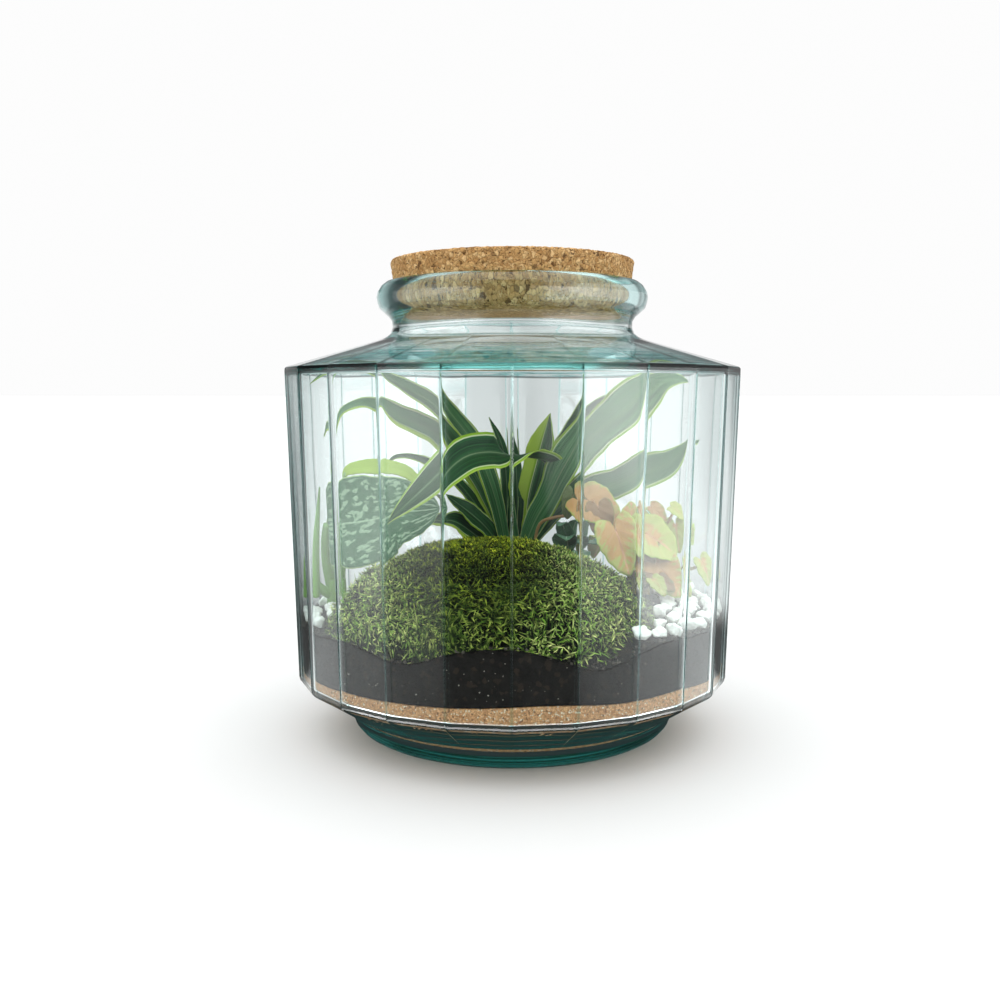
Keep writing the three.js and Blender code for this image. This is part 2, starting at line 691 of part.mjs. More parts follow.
function stones() {
  const draw = seeded(5);
  const made = [];
  for (const bed of STONE_BEDS) {
    for (let radius = bed.outer; radius >= bed.inner; radius -= STONE_SPACING * 0.9) {
      const pitch = (STONE_SPACING / radius) * (180 / Math.PI);
      for (let angle = bed.from + pitch * draw() * 0.5; angle <= bed.to; angle += pitch) {
        const turn = FRONT + rad(angle);
        const [x, y] = [radius * Math.cos(turn), radius * Math.sin(turn)];
        const size = lerp(9.6, 12.4, draw());
        if (!clearOfStems(x, y) || !clearOfMoss(x, y)) continue;
        made.push({ bed: bed.name, solid: stoneSolid(draw, x, y, size) });
      }
    }
  }
  return made;
}

const finish = (color, roughness, extra = {}) =>
  new THREE.MeshStandardMaterial({ color, roughness, metalness: 0, flatShading: true, ...extra });

const MATERIALS = {
  glass: finish(0xd4e8e6, 0.05, { transparent: true, opacity: 0.35 }),
  cork: finish(0xc39a63, 0.85),
  grit: finish(0xc08f6c, 0.9),
  soil: finish(0x24211f, 0.95),
  moss: finish(0x55721c, 0.9),
  dracaena: finish(0x2a5a2c, 0.45),
  spotted: finish(0x4d7a58, 0.5),
  arrowhead: finish(0xcfa27c, 0.5),
  netted: finish(0x23402c, 0.5),
  stone: finish(0xefece6, 0.6),
};

const terrarium = new THREE.Group();

function place(name, solid, material) {
  const mesh = new THREE.Mesh(geometryOf(solid), material);
  mesh.name = name;
  terrarium.add(mesh);
}

place("jar", jarSolid, MATERIALS.glass);
place("cork_stopper", corkSolid, MATERIALS.cork);
place("grit_layer", gritSolid, MATERIALS.grit);
place("soil", soilSolid, MATERIALS.soil);
place("moss_cushion", mossSolid, MATERIALS.moss);
place("dracaena", dracaenaSolid, MATERIALS.dracaena);
place("spotted_plant", spottedSolid, MATERIALS.spotted);
place("arrowhead_plant", arrowheadSolid, MATERIALS.arrowhead);
place("netted_plant", nettedSolid, MATERIALS.netted);
const countOf = {};
for (const { bed, solid } of stones()) {
  countOf[bed] = (countOf[bed] ?? 0) + 1;
  place(`stone_${bed}_${String(countOf[bed]).padStart(2, "0")}`, solid, MATERIALS.stone);
}

export default terrarium;
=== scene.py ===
"""A closed glass terrarium: the looks of its glass, cork, grit, soil, moss, stones and four plants.

Shapes are in millimetres until add_piece turns them into metres. Materials and the studio are in metres.
The frame is the CAD part's: +Z up, the origin in the middle of the foot, a corner edge of the body to -Y.
"""
import math

import bmesh
import bpy
import numpy as np
from mathutils import Matrix, Vector, noise

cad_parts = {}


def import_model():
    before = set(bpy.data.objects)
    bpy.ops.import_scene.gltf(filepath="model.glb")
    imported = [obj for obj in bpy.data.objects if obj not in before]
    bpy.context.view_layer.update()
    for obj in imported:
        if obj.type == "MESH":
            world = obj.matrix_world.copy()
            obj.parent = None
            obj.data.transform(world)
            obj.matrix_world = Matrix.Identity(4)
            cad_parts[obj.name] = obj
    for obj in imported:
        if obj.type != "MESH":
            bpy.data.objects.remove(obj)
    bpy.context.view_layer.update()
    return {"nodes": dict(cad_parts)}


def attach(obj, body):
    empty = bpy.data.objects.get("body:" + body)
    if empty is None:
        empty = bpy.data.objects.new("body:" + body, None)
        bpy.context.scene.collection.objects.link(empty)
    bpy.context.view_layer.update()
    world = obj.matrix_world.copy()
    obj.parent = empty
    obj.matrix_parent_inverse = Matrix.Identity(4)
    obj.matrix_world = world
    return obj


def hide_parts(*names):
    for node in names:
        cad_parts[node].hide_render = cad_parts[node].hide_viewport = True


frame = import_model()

MM = 0.001
TAU = 2 * math.pi
FRONT = -math.pi / 2

# The jar, as in the CAD part. INNER_FLAT is how fully panelled the glass is inside, from 0 to 1.
PANELS = 24
PANEL = TAU / PANELS
BASE_RADIUS = 134.6
FOOT_RADIUS = 101.5
NECK_RADIUS = 74.5
LIP_RADIUS = 83.8
MOUTH_TOP = 277.8
INNER_TOP = 135.6
INNER_BASE = 130.2
INNER_FLAT = 0.98
FLOOR = 9.0
OUTER_EDGE = 1.2  # how softly the panels' corners are rounded
INNER_EDGE = 3.0
RIDGE_WIDTH = 0.9
CORK_BASE = (71.4, 262.4)
CORK_TOP = (75.2, 291.2)
CORK_EDGE = 1.8

# The filling.
GRIT_TOP = 42.0
SOIL_RIM = 71.5
SOIL_RISE = 12.0
FILL_REACH = 133.0
WALL_FLECKS, TOP_FLECKS, RIM_CRUMBS = 420, 1500, 800
# Where the moss hangs down against the glass: radians from the front, half width and depth.
SOIL_DIPS = [(-0.47, 0.19, 8.0), (0.37, 0.21, 11.0)]
MOSS = {"x": -13.0, "y": -55.0, "half_width": 87.0, "half_depth": 78.0, "top": 124.0, "foot": 68.0}


# Meshes

def add_piece(name, verts, faces, material, replaces, smooth=True, uv=None, attributes=None):
    """A mesh of the object, from places in millimetres. It rides with the one body of the part."""
    mesh = bpy.data.meshes.new(name)
    faces = faces if isinstance(faces, list) else faces.tolist()
    mesh.from_pydata((np.asarray(verts, float) * MM).tolist(), [], faces)
    mesh.validate()
    mesh.shade_smooth() if smooth else mesh.shade_flat()
    if uv is not None:
        layer = mesh.uv_layers.new(name="leaf")
        corner_vertex = np.empty(len(mesh.loops), int)
        mesh.loops.foreach_get("vertex_index", corner_vertex)
        layer.data.foreach_set("uv", np.asarray(uv, float)[corner_vertex].ravel())
    for key, values in (attributes or {}).items():
        layer = mesh.attributes.new(key, "FLOAT", "POINT")
        layer.data.foreach_set("value", np.asarray(values, float))
    mesh.materials.append(material)
    piece = bpy.data.objects.new(name, mesh)
    bpy.context.scene.collection.objects.link(piece)
    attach(piece, "root")
    if replaces:
        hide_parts(*replaces)


def unit(vectors):
    return vectors / np.linalg.norm(vectors, axis=-1, keepdims=True)


def grid_faces(rows, columns, wrap, start=0):
    """Quads between rows of points. wrap closes each row into a ring."""
    i = np.arange(rows - 1)[:, None]
    j = np.arange(columns if wrap else columns - 1)[None, :]
    a = start + i * columns + j
    b = start + i * columns + (j + 1) % columns
    return np.stack([a, b, b + columns, a + columns], -1).reshape(-1, 4)


def even_angles(sides):
    return FRONT + np.arange(sides) * TAU / sides


def revolved(rows, angles, place):
    """A closed skin through rings. place(k, angles) gives ring k's points; the ends close on the axis."""
    sides = len(angles)
    rings = np.array([place(k, angles) for k in range(rows)])
    low, high = rings[0].mean(0), rings[-1].mean(0)
    verts = np.concatenate([rings.reshape(-1, 3), [low, high]])
    faces = grid_faces(rows, sides, True).tolist()
    last = (rows - 1) * sides
    for j in range(sides):
        faces.append([rows * sides, (j + 1) % sides, j])
        faces.append([rows * sides + 1, last + j, last + (j + 1) % sides])
    return verts, faces


def polar(radius, angles, height):
    """Points of a ring."""
    radius = np.broadcast_to(radius, angles.shape)
    height = np.broadcast_to(height, angles.shape)
    return np.stack([radius * np.cos(angles), radius * np.sin(angles), height], -1)


def densified(profile, step, crisp=0.0):
    """A profile of (radius, height, flat) with points at most step apart. Where crisp is given, long
    stretches also get a point that far from each end, which keeps the rounding to their corners."""
    rows = []
    for (r0, z0, f0), (r1, z1, f1) in zip(profile, profile[1:]):
        length = math.hypot(r1 - r0, z1 - z0)
        count = max(1, math.ceil(length / step))
        shares = [k / count for k in range(count)]
        if crisp and length > step:
            shares = [0, crisp / length, *shares[1:], 1 - crisp / length]
        rows += [(r0 + (r1 - r0) * t, z0 + (z1 - z0) * t, f0 + (f1 - f0) * t) for t in shares]
    rows.append(profile[-1])
    return rows


def noise_at(points, scale, seed=0.0):
    """Smooth noise between about -1 and 1 at each point."""
    return np.array([noise.noise(Vector((p[0] / scale + seed, p[1] / scale, p[2] / scale))) for p in points])


def cells_at(points, scale, seed=0.0):
    """Distance to the nearest and second nearest cell centre at each point, in cells."""
    near = np.empty(len(points))
    second = np.empty(len(points))
    for i, p in enumerate(points):
        distances, _ = noise.voronoi(Vector((p[0] / scale + seed, p[1] / scale, p[2] / scale)))
        near[i], second[i] = distances[0], distances[1]
    return near, second


# Materials

class Shader:
    """A material's node tree with short ways to add nodes. Without a tree it makes a new material."""

    def __init__(self, name=None, tree=None):
        if tree is None:
            self.material = bpy.data.materials.new(name)
            self.material.use_nodes = True
        self.tree = tree or self.material.node_tree
        self.tree.nodes.clear()
        self.output = self.tree.nodes.new("ShaderNodeOutputWorld" if tree else "ShaderNodeOutputMaterial")

    def node(self, kind, inputs=None, **settings):
        made = self.tree.nodes.new("ShaderNode" + kind)
        for key, value in settings.items():
            setattr(made, key, value)
        for key, value in (inputs or {}).items():
            self.feed(made.inputs[key], value)
        return made

    def feed(self, socket, value):
        if isinstance(value, bpy.types.NodeSocket):
            self.tree.links.new(value, socket)
        elif isinstance(value, tuple) and len(value) == 3 and socket.type == "RGBA":
            socket.default_value = (*value, 1.0)
        else:
            socket.default_value = value

    def end(self, node, socket="Surface"):
        self.tree.links.new(node.outputs[0], self.output.inputs[socket])

    def math(self, operation, *values):
        return self.node("Math", dict(enumerate(values)), operation=operation).outputs[0]

    def times(self, a, b):
        return self.math("MULTIPLY", a, b)

    def plus(self, a, b):
        return self.math("ADD", a, b)

    def larger(self, a, b):
        return self.math("MAXIMUM", a, b)

    def size(self, a):
        return self.math("ABSOLUTE", a)

    def scaled(self, a, factor, shift):
        return self.math("MULTIPLY_ADD", a, factor, shift)

    def ramp(self, value, low, high, to_low=0.0, to_high=1.0):
        """value between low and high as a smooth share."""
        inputs = {"Value": value, "From Min": low, "From Max": high, "To Min": to_low, "To Max": to_high}
        return self.node("MapRange", inputs, interpolation_type="SMOOTHSTEP").outputs["Result"]

    def sweep(self, turn, low, high, *levels):
        """A ramp between two angles in degrees."""
        return self.ramp(turn, math.radians(low), math.radians(high), *levels)

    def mix(self, share, a, b):
        return self.node("Mix", {0: share, 6: a, 7: b}, data_type="RGBA").outputs[2]

    def over(self, color, paint, *band):
        """color with paint laid over it where ramp(*band) is high."""
        return self.mix(self.ramp(*band), color, paint)

    def blend(self, share, a, b):
        """The number between a and b at a share."""
        return self.node("Mix", {0: share, 2: a, 3: b}, data_type="FLOAT").outputs[0]

    def place(self):
        return self.node("TexCoord").outputs["Object"]

    def axis(self, place, letter):
        return self.node("SeparateXYZ", {0: place}).outputs[letter]

    def vector(self, *parts):
        return self.node("CombineXYZ", dict(enumerate(parts))).outputs[0]

    def stretched(self, place, scale):
        return self.node("Mapping", {"Vector": place, "Scale": scale}).outputs[0]

    def noise(self, place, scale, detail=3.0, roughness=0.55):
        inputs = {"Vector": place, "Scale": scale, "Detail": detail, "Roughness": roughness}
        return self.node("TexNoise", inputs).outputs["Fac"]

    def cells(self, place, scale):
        return self.node("TexVoronoi", {"Vector": place, "Scale": scale}).outputs

    def seams(self, place, scale):
        """Distance to the nearest border between cells."""
        inputs = {"Vector": place, "Scale": scale}
        return self.node("TexVoronoi", inputs, feature="DISTANCE_TO_EDGE").outputs["Distance"]

    def tones(self, cells):
        """Three random numbers for each cell."""
        return self.node("SeparateColor", {0: cells["Color"]}).outputs

    def attribute(self, name):
        return self.node("Attribute", attribute_name=name).outputs["Fac"]

    def uv(self):
        """u runs along a leaf and v across it."""
        split = self.node("SeparateXYZ", {0: self.node("TexCoord").outputs["UV"]})
        return split.outputs["X"], split.outputs["Y"]

    def from_midrib(self, v):
        """0 on the midrib and 1 at the rim, for v from 0 to 1."""
        return self.size(self.scaled(v, 2.0, -1.0))

    def ribs(self, slant, count):
        return self.math("PINGPONG", self.times(slant, count), 0.5)

    def bump(self, height, strength, distance):
        return self.node("Bump", {"Height": height, "Strength": strength, "Distance": distance}).outputs[0]

    def finish(self, color, roughness, normal=None, specular=None):
        inputs = {"Base Color": color, "Roughness": roughness}
        if normal is not None:
            inputs["Normal"] = normal
        if specular is not None:
            inputs["Specular IOR Level"] = specular
        self.end(self.node("BsdfPrincipled", inputs))
        return self.material


def grey(level):
    return (level, level, level)


def glass_material():
    """Clear glass that is greener where it is thick: in the corners of its panels and along its shoulder."""
    s = Shader("glass")
    place = s.place()
    z = s.axis(place, "Z")
    streaks = s.stretched(place, (40.0, 40.0, 900.0))
    pooled = s.times(s.ramp(z, 0.2252, 0.2262), s.ramp(z, 0.2290, 0.2370, 1.0, 0.0))
    pooled = s.times(pooled, s.ramp(s.noise(streaks, 1.0, 3.0), 0.38, 0.60, 0.15, 1.0))
    rim = s.times(s.ramp(z, 0.2242, 0.2248), s.ramp(z, 0.2254, 0.2260, 1.0, 0.0))
    lines = s.times(pooled, s.ramp(s.noise(streaks, 2.2, 2.0), 0.54, 0.60))
    color = s.mix(s.attribute("ridge"), grey(1.0), (0.50, 0.80, 0.79))
    color = s.mix(pooled, color, (0.10, 0.54, 0.52))
    color = s.mix(lines, color, (0.02, 0.12, 0.12))
    color = s.mix(rim, color, (0.10, 0.34, 0.34))
    glass = {"Base Color": color, "Roughness": 0.0, "IOR": 1.5, "Transmission Weight": 1.0}
    body = s.node("BsdfPrincipled", glass)
    clear = s.node("BsdfTransparent", {"Color": (0.97, 0.985, 0.985)})
    path = s.node("LightPath")
    passing = s.larger(path.outputs["Is Shadow Ray"], path.outputs["Is Diffuse Ray"])
    both = s.node("MixShader", {0: passing, 1: body.outputs[0], 2: clear.outputs[0]})
    s.end(both)
    tint = s.node("VolumeAbsorption", {"Color": (0.0, 0.60, 0.57), "Density": 17.0})
    s.end(tint, "Volume")
    return s.material


def cork_material():
    s = Shader("cork")
    place = s.place()
    sway = s.node("TexNoise", {"Vector": place, "Scale": 420.0, "Detail": 2.0}).outputs["Color"]
    scaled = s.node("VectorMath", {0: sway, "Scale": 0.0028}, operation="SCALE").outputs[0]
    uneven = s.node("VectorMath", {0: place, 1: scaled}, operation="ADD").outputs[0]
    grain = s.cells(uneven, 430.0)
    tone = s.tones(grain)
    base = s.mix(tone[0], (0.40, 0.21, 0.075), (0.62, 0.375, 0.155))
    color = s.mix(s.ramp(tone[1], 0.6, 0.95), base, (0.76, 0.50, 0.24))
    color = s.mix(s.noise(place, 60.0, 2.0), color, s.mix(0.35, color, (0.55, 0.30, 0.10)))
    seam = s.seams(uneven, 430.0)
    color = s.over(color, (0.20, 0.09, 0.03), seam, 0.0, 0.10, 0.5, 0.0)
    pit = s.ramp(s.noise(place, 620.0, 3.0, 0.7), 0.56, 0.66)
    near_seam = s.ramp(seam, 0.04, 0.30, 1.0, 0.25)
    pit = s.times(pit, near_seam)
    dark = s.larger(pit, s.ramp(tone[2], 0.95, 0.98, 0.0, 0.8))
    color = s.mix(dark, color, (0.085, 0.035, 0.012))
    height = s.scaled(pit, -1.2, s.plus(s.ramp(seam, 0.0, 0.22), s.noise(place, 1300.0)))
    return s.finish(color, 0.9, s.bump(height, 0.8, 0.0007), specular=0.2)


def grit_material():
    s = Shader("grit")
    place = s.place()
    grain = s.cells(place, 1050.0)
    tone = s.tones(grain)
    color = s.mix(tone[0], (0.54, 0.225, 0.085), (0.95, 0.53, 0.26))
    color = s.over(color, (1.0, 0.86, 0.66), tone[1], 0.86, 0.95)
    color = s.over(color, (0.22, 0.09, 0.045), tone[2], 0.90, 0.97)
    color = s.mix(s.noise(place, 35.0, 2.0), s.mix(0.25, color, (0.95, 0.60, 0.36)), color)
    seam = s.seams(place, 1050.0)
    # Painted shade: dark lines in the gaps between the grains.
    color = s.over(color, (0.16, 0.07, 0.035), seam, 0.0, 0.14, 0.5, 0.0)
    bump = s.bump(s.ramp(seam, 0.0, 0.35), 0.9, 0.0006)
    return s.finish(color, 0.85, bump, specular=0.25)


def soil_material():
    s = Shader("soil")
    place = s.place()
    color = s.mix(s.noise(place, 160.0, 5.0), (0.003, 0.0026, 0.0026), (0.022, 0.018, 0.016))
    crumb = s.cells(place, 420.0)
    tone = s.tones(crumb)
    color = s.over(color, (0.045, 0.03, 0.02), tone[0], 0.8, 1.0, 0.0, 0.5)
    bump = s.bump(s.plus(crumb["Distance"], s.noise(place, 900.0)), 0.8, 0.0008)
    return s.finish(color, 0.95, bump, specular=0.15)


def fleck_material():
    s = Shader("soil_flecks")
    tone = s.attribute("tone")
    color = s.mix(tone, (0.022, 0.015, 0.010), (0.66, 0.61, 0.52))
    return s.finish(s.mix(s.noise(s.place(), 1500.0), color, s.mix(0.5, color, (0.10, 0.07, 0.05))), 0.85)


def stone_material():
    s = Shader("white_stone")
    place = s.place()
    cloud = s.noise(place, 90.0, 5.0)
    color = s.mix(cloud, (0.95, 0.93, 0.90), (0.80, 0.76, 0.70))
    color = s.over(color, (0.62, 0.56, 0.48), s.noise(place, 700.0, 3.0), 0.62, 0.75, 0.0, 0.35)
    return s.finish(color, 0.6, s.bump(s.noise(place, 1100.0, 4.0), 0.35, 0.0005))


def moss_core_material():
    s = Shader("moss_core")
    place = s.place()
    # Near black: the mat's own dark green with painted shade, deep under the shoots and in the gap at the
    # front of the cushion.
    color = s.mix(s.noise(place, 300.0, 4.0), (0.0008, 0.0015, 0.0003), (0.006, 0.010, 0.002))
    return s.finish(color, 0.95, s.bump(s.noise(place, 700.0), 1.0, 0.001), specular=0.1)


def moss_material():
    """Dark at the root and bright at the tip, partly the shoots' own colour and partly painted shade deep in
    the cushion. Painted light: the top of the cushion, its fringe and its flanks lighter, and the middle of
    its slope and patches there darker. low is 0 on top of the cushion and 1 at its foot.
    """
    s = Shader("moss_shoots")
    tip, tone, low = s.attribute("tip"), s.attribute("tone"), s.attribute("low")
    flank = s.size(s.plus(s.axis(s.place(), "X"), 0.020))
    # Near black at the root: the shoots' dark bases with painted shade deep in the cushion.
    root = s.mix(tone, (0.0008, 0.0025, 0.0002), (0.003, 0.007, 0.001))
    tone = s.math("POWER", tone, 1.7)
    # Painted light: lighter colours on the top of the cushion, and darker ones as painted shade on the middle
    # of its slope.
    top = s.mix(tone, (0.18, 0.29, 0.005), (0.92, 0.95, 0.05))
    shaded_middle = s.mix(tone, (0.03, 0.07, 0.003), (0.42, 0.52, 0.035))
    # Painted light: the fringe at the foot and the flanks of the cushion are lighter than the shoots above
    # them.
    fringe = s.mix(tone, (0.26, 0.50, 0.045), (1.0, 1.0, 0.36))
    high = s.mix(s.ramp(low, 0.30, 0.62), top, shaded_middle)
    lit_flank = s.times(s.ramp(flank, 0.026, 0.054), s.ramp(low, 0.12, 0.36))
    rim = s.times(s.ramp(low, 0.76, 0.97), s.ramp(flank, 0.015, 0.045, 0.3, 1.0))
    outer = s.larger(rim, lit_flank)
    high = s.mix(outer, high, fringe)
    color = s.mix(s.ramp(tip, 0.40, 0.95), root, high)
    # Painted shade: darker noise patches on the shoots, weaker towards the lighter fringe and flanks.
    shade_patch = s.ramp(s.noise(s.place(), 80.0, 2.0), 0.44, 0.62, 0.0, 0.6)
    shade_patch = s.times(shade_patch, s.scaled(outer, -0.7, 1.0))
    color = s.mix(shade_patch, color, s.mix(tip, root, (0.03, 0.065, 0.004)))
    return s.finish(color, 0.6, specular=0.12)


def dracaena_material():
    """Dark green between lime margins with a pale line. lime widens both, and lean the left one."""
    s = Shader("dracaena_leaf")
    u, v = s.uv()
    lime, lean = s.attribute("lime"), s.attribute("lean")
    side = s.from_midrib(v)
    streak = s.vector(s.times(u, 2.5), s.times(v, 30.0), s.attribute("tone"))
    lines = s.noise(streak, 1.0, 3.0)
    wander = s.scaled(s.noise(streak, 0.4, 1.0), 0.12, -0.06)
    young = s.ramp(u, 0.02, 0.30, -0.12, 0.0)
    widened = s.plus(lime, s.times(lean, s.ramp(v, 0.48, 0.52)))
    edge = s.plus(s.plus(side, wander), s.plus(widened, young))
    dark = s.mix(s.ramp(lines, 0.35, 0.7), (0.003, 0.030, 0.008), (0.014, 0.100, 0.022))
    pale = s.mix(s.ramp(lines, 0.35, 0.7), (0.025, 0.12, 0.035), (0.12, 0.30, 0.12))
    dark = s.mix(s.attribute("pale"), dark, pale)
    color = s.mix(s.ramp(side, 0.03, 0.16, 0.35, 0.0), dark, (0.10, 0.22, 0.09))
    color = s.over(color, (0.32, 0.42, 0.22), side, 0.015, 0.03, 0.4, 0.0)
    color = s.over(color, (0.10, 0.24, 0.09), lines, 0.60, 0.70, 0.0, 0.35)
    color = s.over(color, (0.52, 0.58, 0.34), edge, 0.82, 0.84)
    color = s.over(color, (0.22, 0.38, 0.02), edge, 0.865, 0.90)
    color = s.over(color, (0.46, 0.60, 0.08), edge, 0.95, 1.05, 0.0, 0.7)
    bump = s.bump(lines, 0.25, 0.0006)
    return s.finish(color, 0.42, bump, specular=0.22)


def spotted_material():
    """Green with silvery blotches. lime is 1 on the leaf that is still yellow-green."""
    s = Shader("spotted_leaf")
    u, v = s.uv()
    side = s.from_midrib(v)
    slant = s.scaled(side, -0.5, u)
    sway = s.noise(s.place(), 90.0, 2.0)
    along = s.plus(s.times(u, 11.0), s.times(sway, 2.0))
    drawn = s.plus(s.times(v, 18.0), s.times(sway, 2.4))
    across = s.vector(along, drawn, s.attribute("lime"))
    near = s.cells(across, 1.0)["Distance"]
    ragged = s.scaled(s.noise(across, 2.6, 2.0, 0.6), 0.9, -0.45)
    rib = s.ribs(slant, 8.0)
    spot = s.ramp(s.plus(near, ragged), 0.38, 0.43, 1.0, 0.0)
    green = s.mix(s.noise(across, 0.6), (0.030, 0.105, 0.045), (0.060, 0.170, 0.080))
    color = s.mix(s.times(spot, s.ramp(side, 0.9, 0.97, 1.0, 0.0)), green, (0.27, 0.40, 0.26))
    color = s.over(color, (0.20, 0.34, 0.20), rib, 0.0, 0.03, 0.25, 0.0)
    color = s.over(color, (0.34, 0.48, 0.32), side, 0.010, 0.03, 0.9, 0.0)
    color = s.over(color, (0.42, 0.56, 0.26), side, 0.965, 0.99)
    lime = s.mix(s.noise(across, 0.8), (0.28, 0.42, 0.04), (0.44, 0.58, 0.10))
    color = s.mix(s.attribute("lime"), color, lime)
    bump = s.bump(s.plus(rib, s.noise(across, 3.0)), 0.3, 0.0008)
    return s.finish(color, 0.45, bump, specular=0.25)


def stalk_material(name, low, high):
    s = Shader(name)
    place = s.place()
    height = s.axis(place, "Z")
    streak = s.noise(s.stretched(place, (900.0, 900.0, 60.0)), 1.0, 2.0)
    color = s.mix(s.ramp(height, 0.085, 0.15), low, high)
    color = s.mix(s.ramp(streak, 0.4, 0.8, 0.0, 0.5), color, tuple(0.45 * x for x in low))
    return s.finish(color, 0.45, s.bump(streak, 0.3, 0.0004), specular=0.25)


def arrowhead_material():
    """Peach to yellow-green by tone, mottled lime towards the rim. shade darkens a leaf as painted shadow."""
    s = Shader("arrowhead_leaf")
    u, v = s.uv()
    tone, rim, shade = s.attribute("tone"), s.attribute("rim"), s.attribute("shade")
    side = s.size(v)
    slant = s.scaled(side, -0.8, u)
    rib = s.ribs(slant, 3.6)
    place = s.place()
    cloud = s.noise(place, 90.0, 3.0)
    drawn = s.vector(s.times(slant, 9.0), s.times(side, 3.0), s.scaled(tone, 7.0, s.times(v, 1.5)))
    mottle = s.ramp(s.noise(drawn, 1.0, 3.0, 0.65), 0.47, 0.60)
    peach = s.mix(cloud, (0.46, 0.22, 0.08), (0.58, 0.36, 0.14))
    green = s.mix(cloud, (0.34, 0.37, 0.08), (0.50, 0.50, 0.17))
    reach = s.scaled(tone, -1.1, 1.35)
    spread = s.plus(rim, s.scaled(mottle, 0.55, -0.2))
    greening = s.ramp(spread, reach, s.plus(reach, 0.22))
    color = s.mix(greening, peach, green)
    color = s.over(color, (0.66, 0.34, 0.20), rib, 0.0, 0.07, 0.4, 0.0)
    color = s.over(color, (0.66, 0.36, 0.22), side, 0.008, 0.035, 0.8, 0.0)
    color = s.over(color, (0.40, 0.54, 0.08), rim, 0.94, 0.99, 0.0, 0.85)
    # Painted shade: shade darkens the leaf to dark brown where it is peach and to dark green where it is
    # green.
    color = s.mix(shade, color, s.mix(greening, (0.16, 0.085, 0.045), (0.045, 0.085, 0.03)))
    return s.finish(color, 0.5, s.bump(s.plus(rib, cloud), 0.3, 0.0008), specular=0.25)


def netted_material():
    s = Shader("netted_leaf")
    u, v = s.uv()
    side = s.from_midrib(v)
    slant = s.scaled(side, -0.3, u)
    rib = s.ribs(slant, 6.0)
    net = s.vector(s.times(u, 16.0), s.times(v, 11.0))
    mesh = s.seams(net, 1.0)
    color = s.mix(s.noise(net, 1.0), (0.07, 0.19, 0.10), (0.15, 0.32, 0.18))
    color = s.over(color, (0.20, 0.32, 0.26), mesh, 0.0, 0.05, 0.25, 0.0)
    color = s.over(color, (0.34, 0.46, 0.40), rib, 0.0, 0.05, 0.6, 0.0)
    color = s.over(color, (0.50, 0.62, 0.50), side, 0.03, 0.08, 0.9, 0.0)
    return s.finish(color, 0.45, s.bump(mesh, 0.4, 0.0006), specular=0.25)


# The jar and its cork

def ring_radius(radius, flat, angles, edge):
    """The reach of a ring at each angle. flat 1 is fully panelled, and edge rounds the corners."""
    off = np.mod(angles - FRONT, PANEL) - PANEL / 2
    panel = radius * math.cos(PANEL / 2) / np.cos(off)
    from_corner = radius * (PANEL / 2 - np.abs(off))
    worn = math.tan(PANEL / 2) * (np.sqrt(from_corner ** 2 + edge ** 2) - from_corner)
    seam = 0.27 * np.exp(-(from_corner / 0.42) ** 2) if edge < INNER_EDGE else 0
    return radius + flat * (panel - worn + seam - radius)


def panel_angles():
    """Angles once round the jar, close together near the corners of the panels."""
    steps = np.radians([0, 0.07, 0.14, 0.22, 0.31, 0.42, 0.6, 0.9, 1.4, 2.2, 3.5, 5.2])
    one = np.concatenate([steps, [PANEL / 2], PANEL - steps[:0:-1]])
    return np.concatenate([FRONT + k * PANEL + one for k in range(PANELS)])


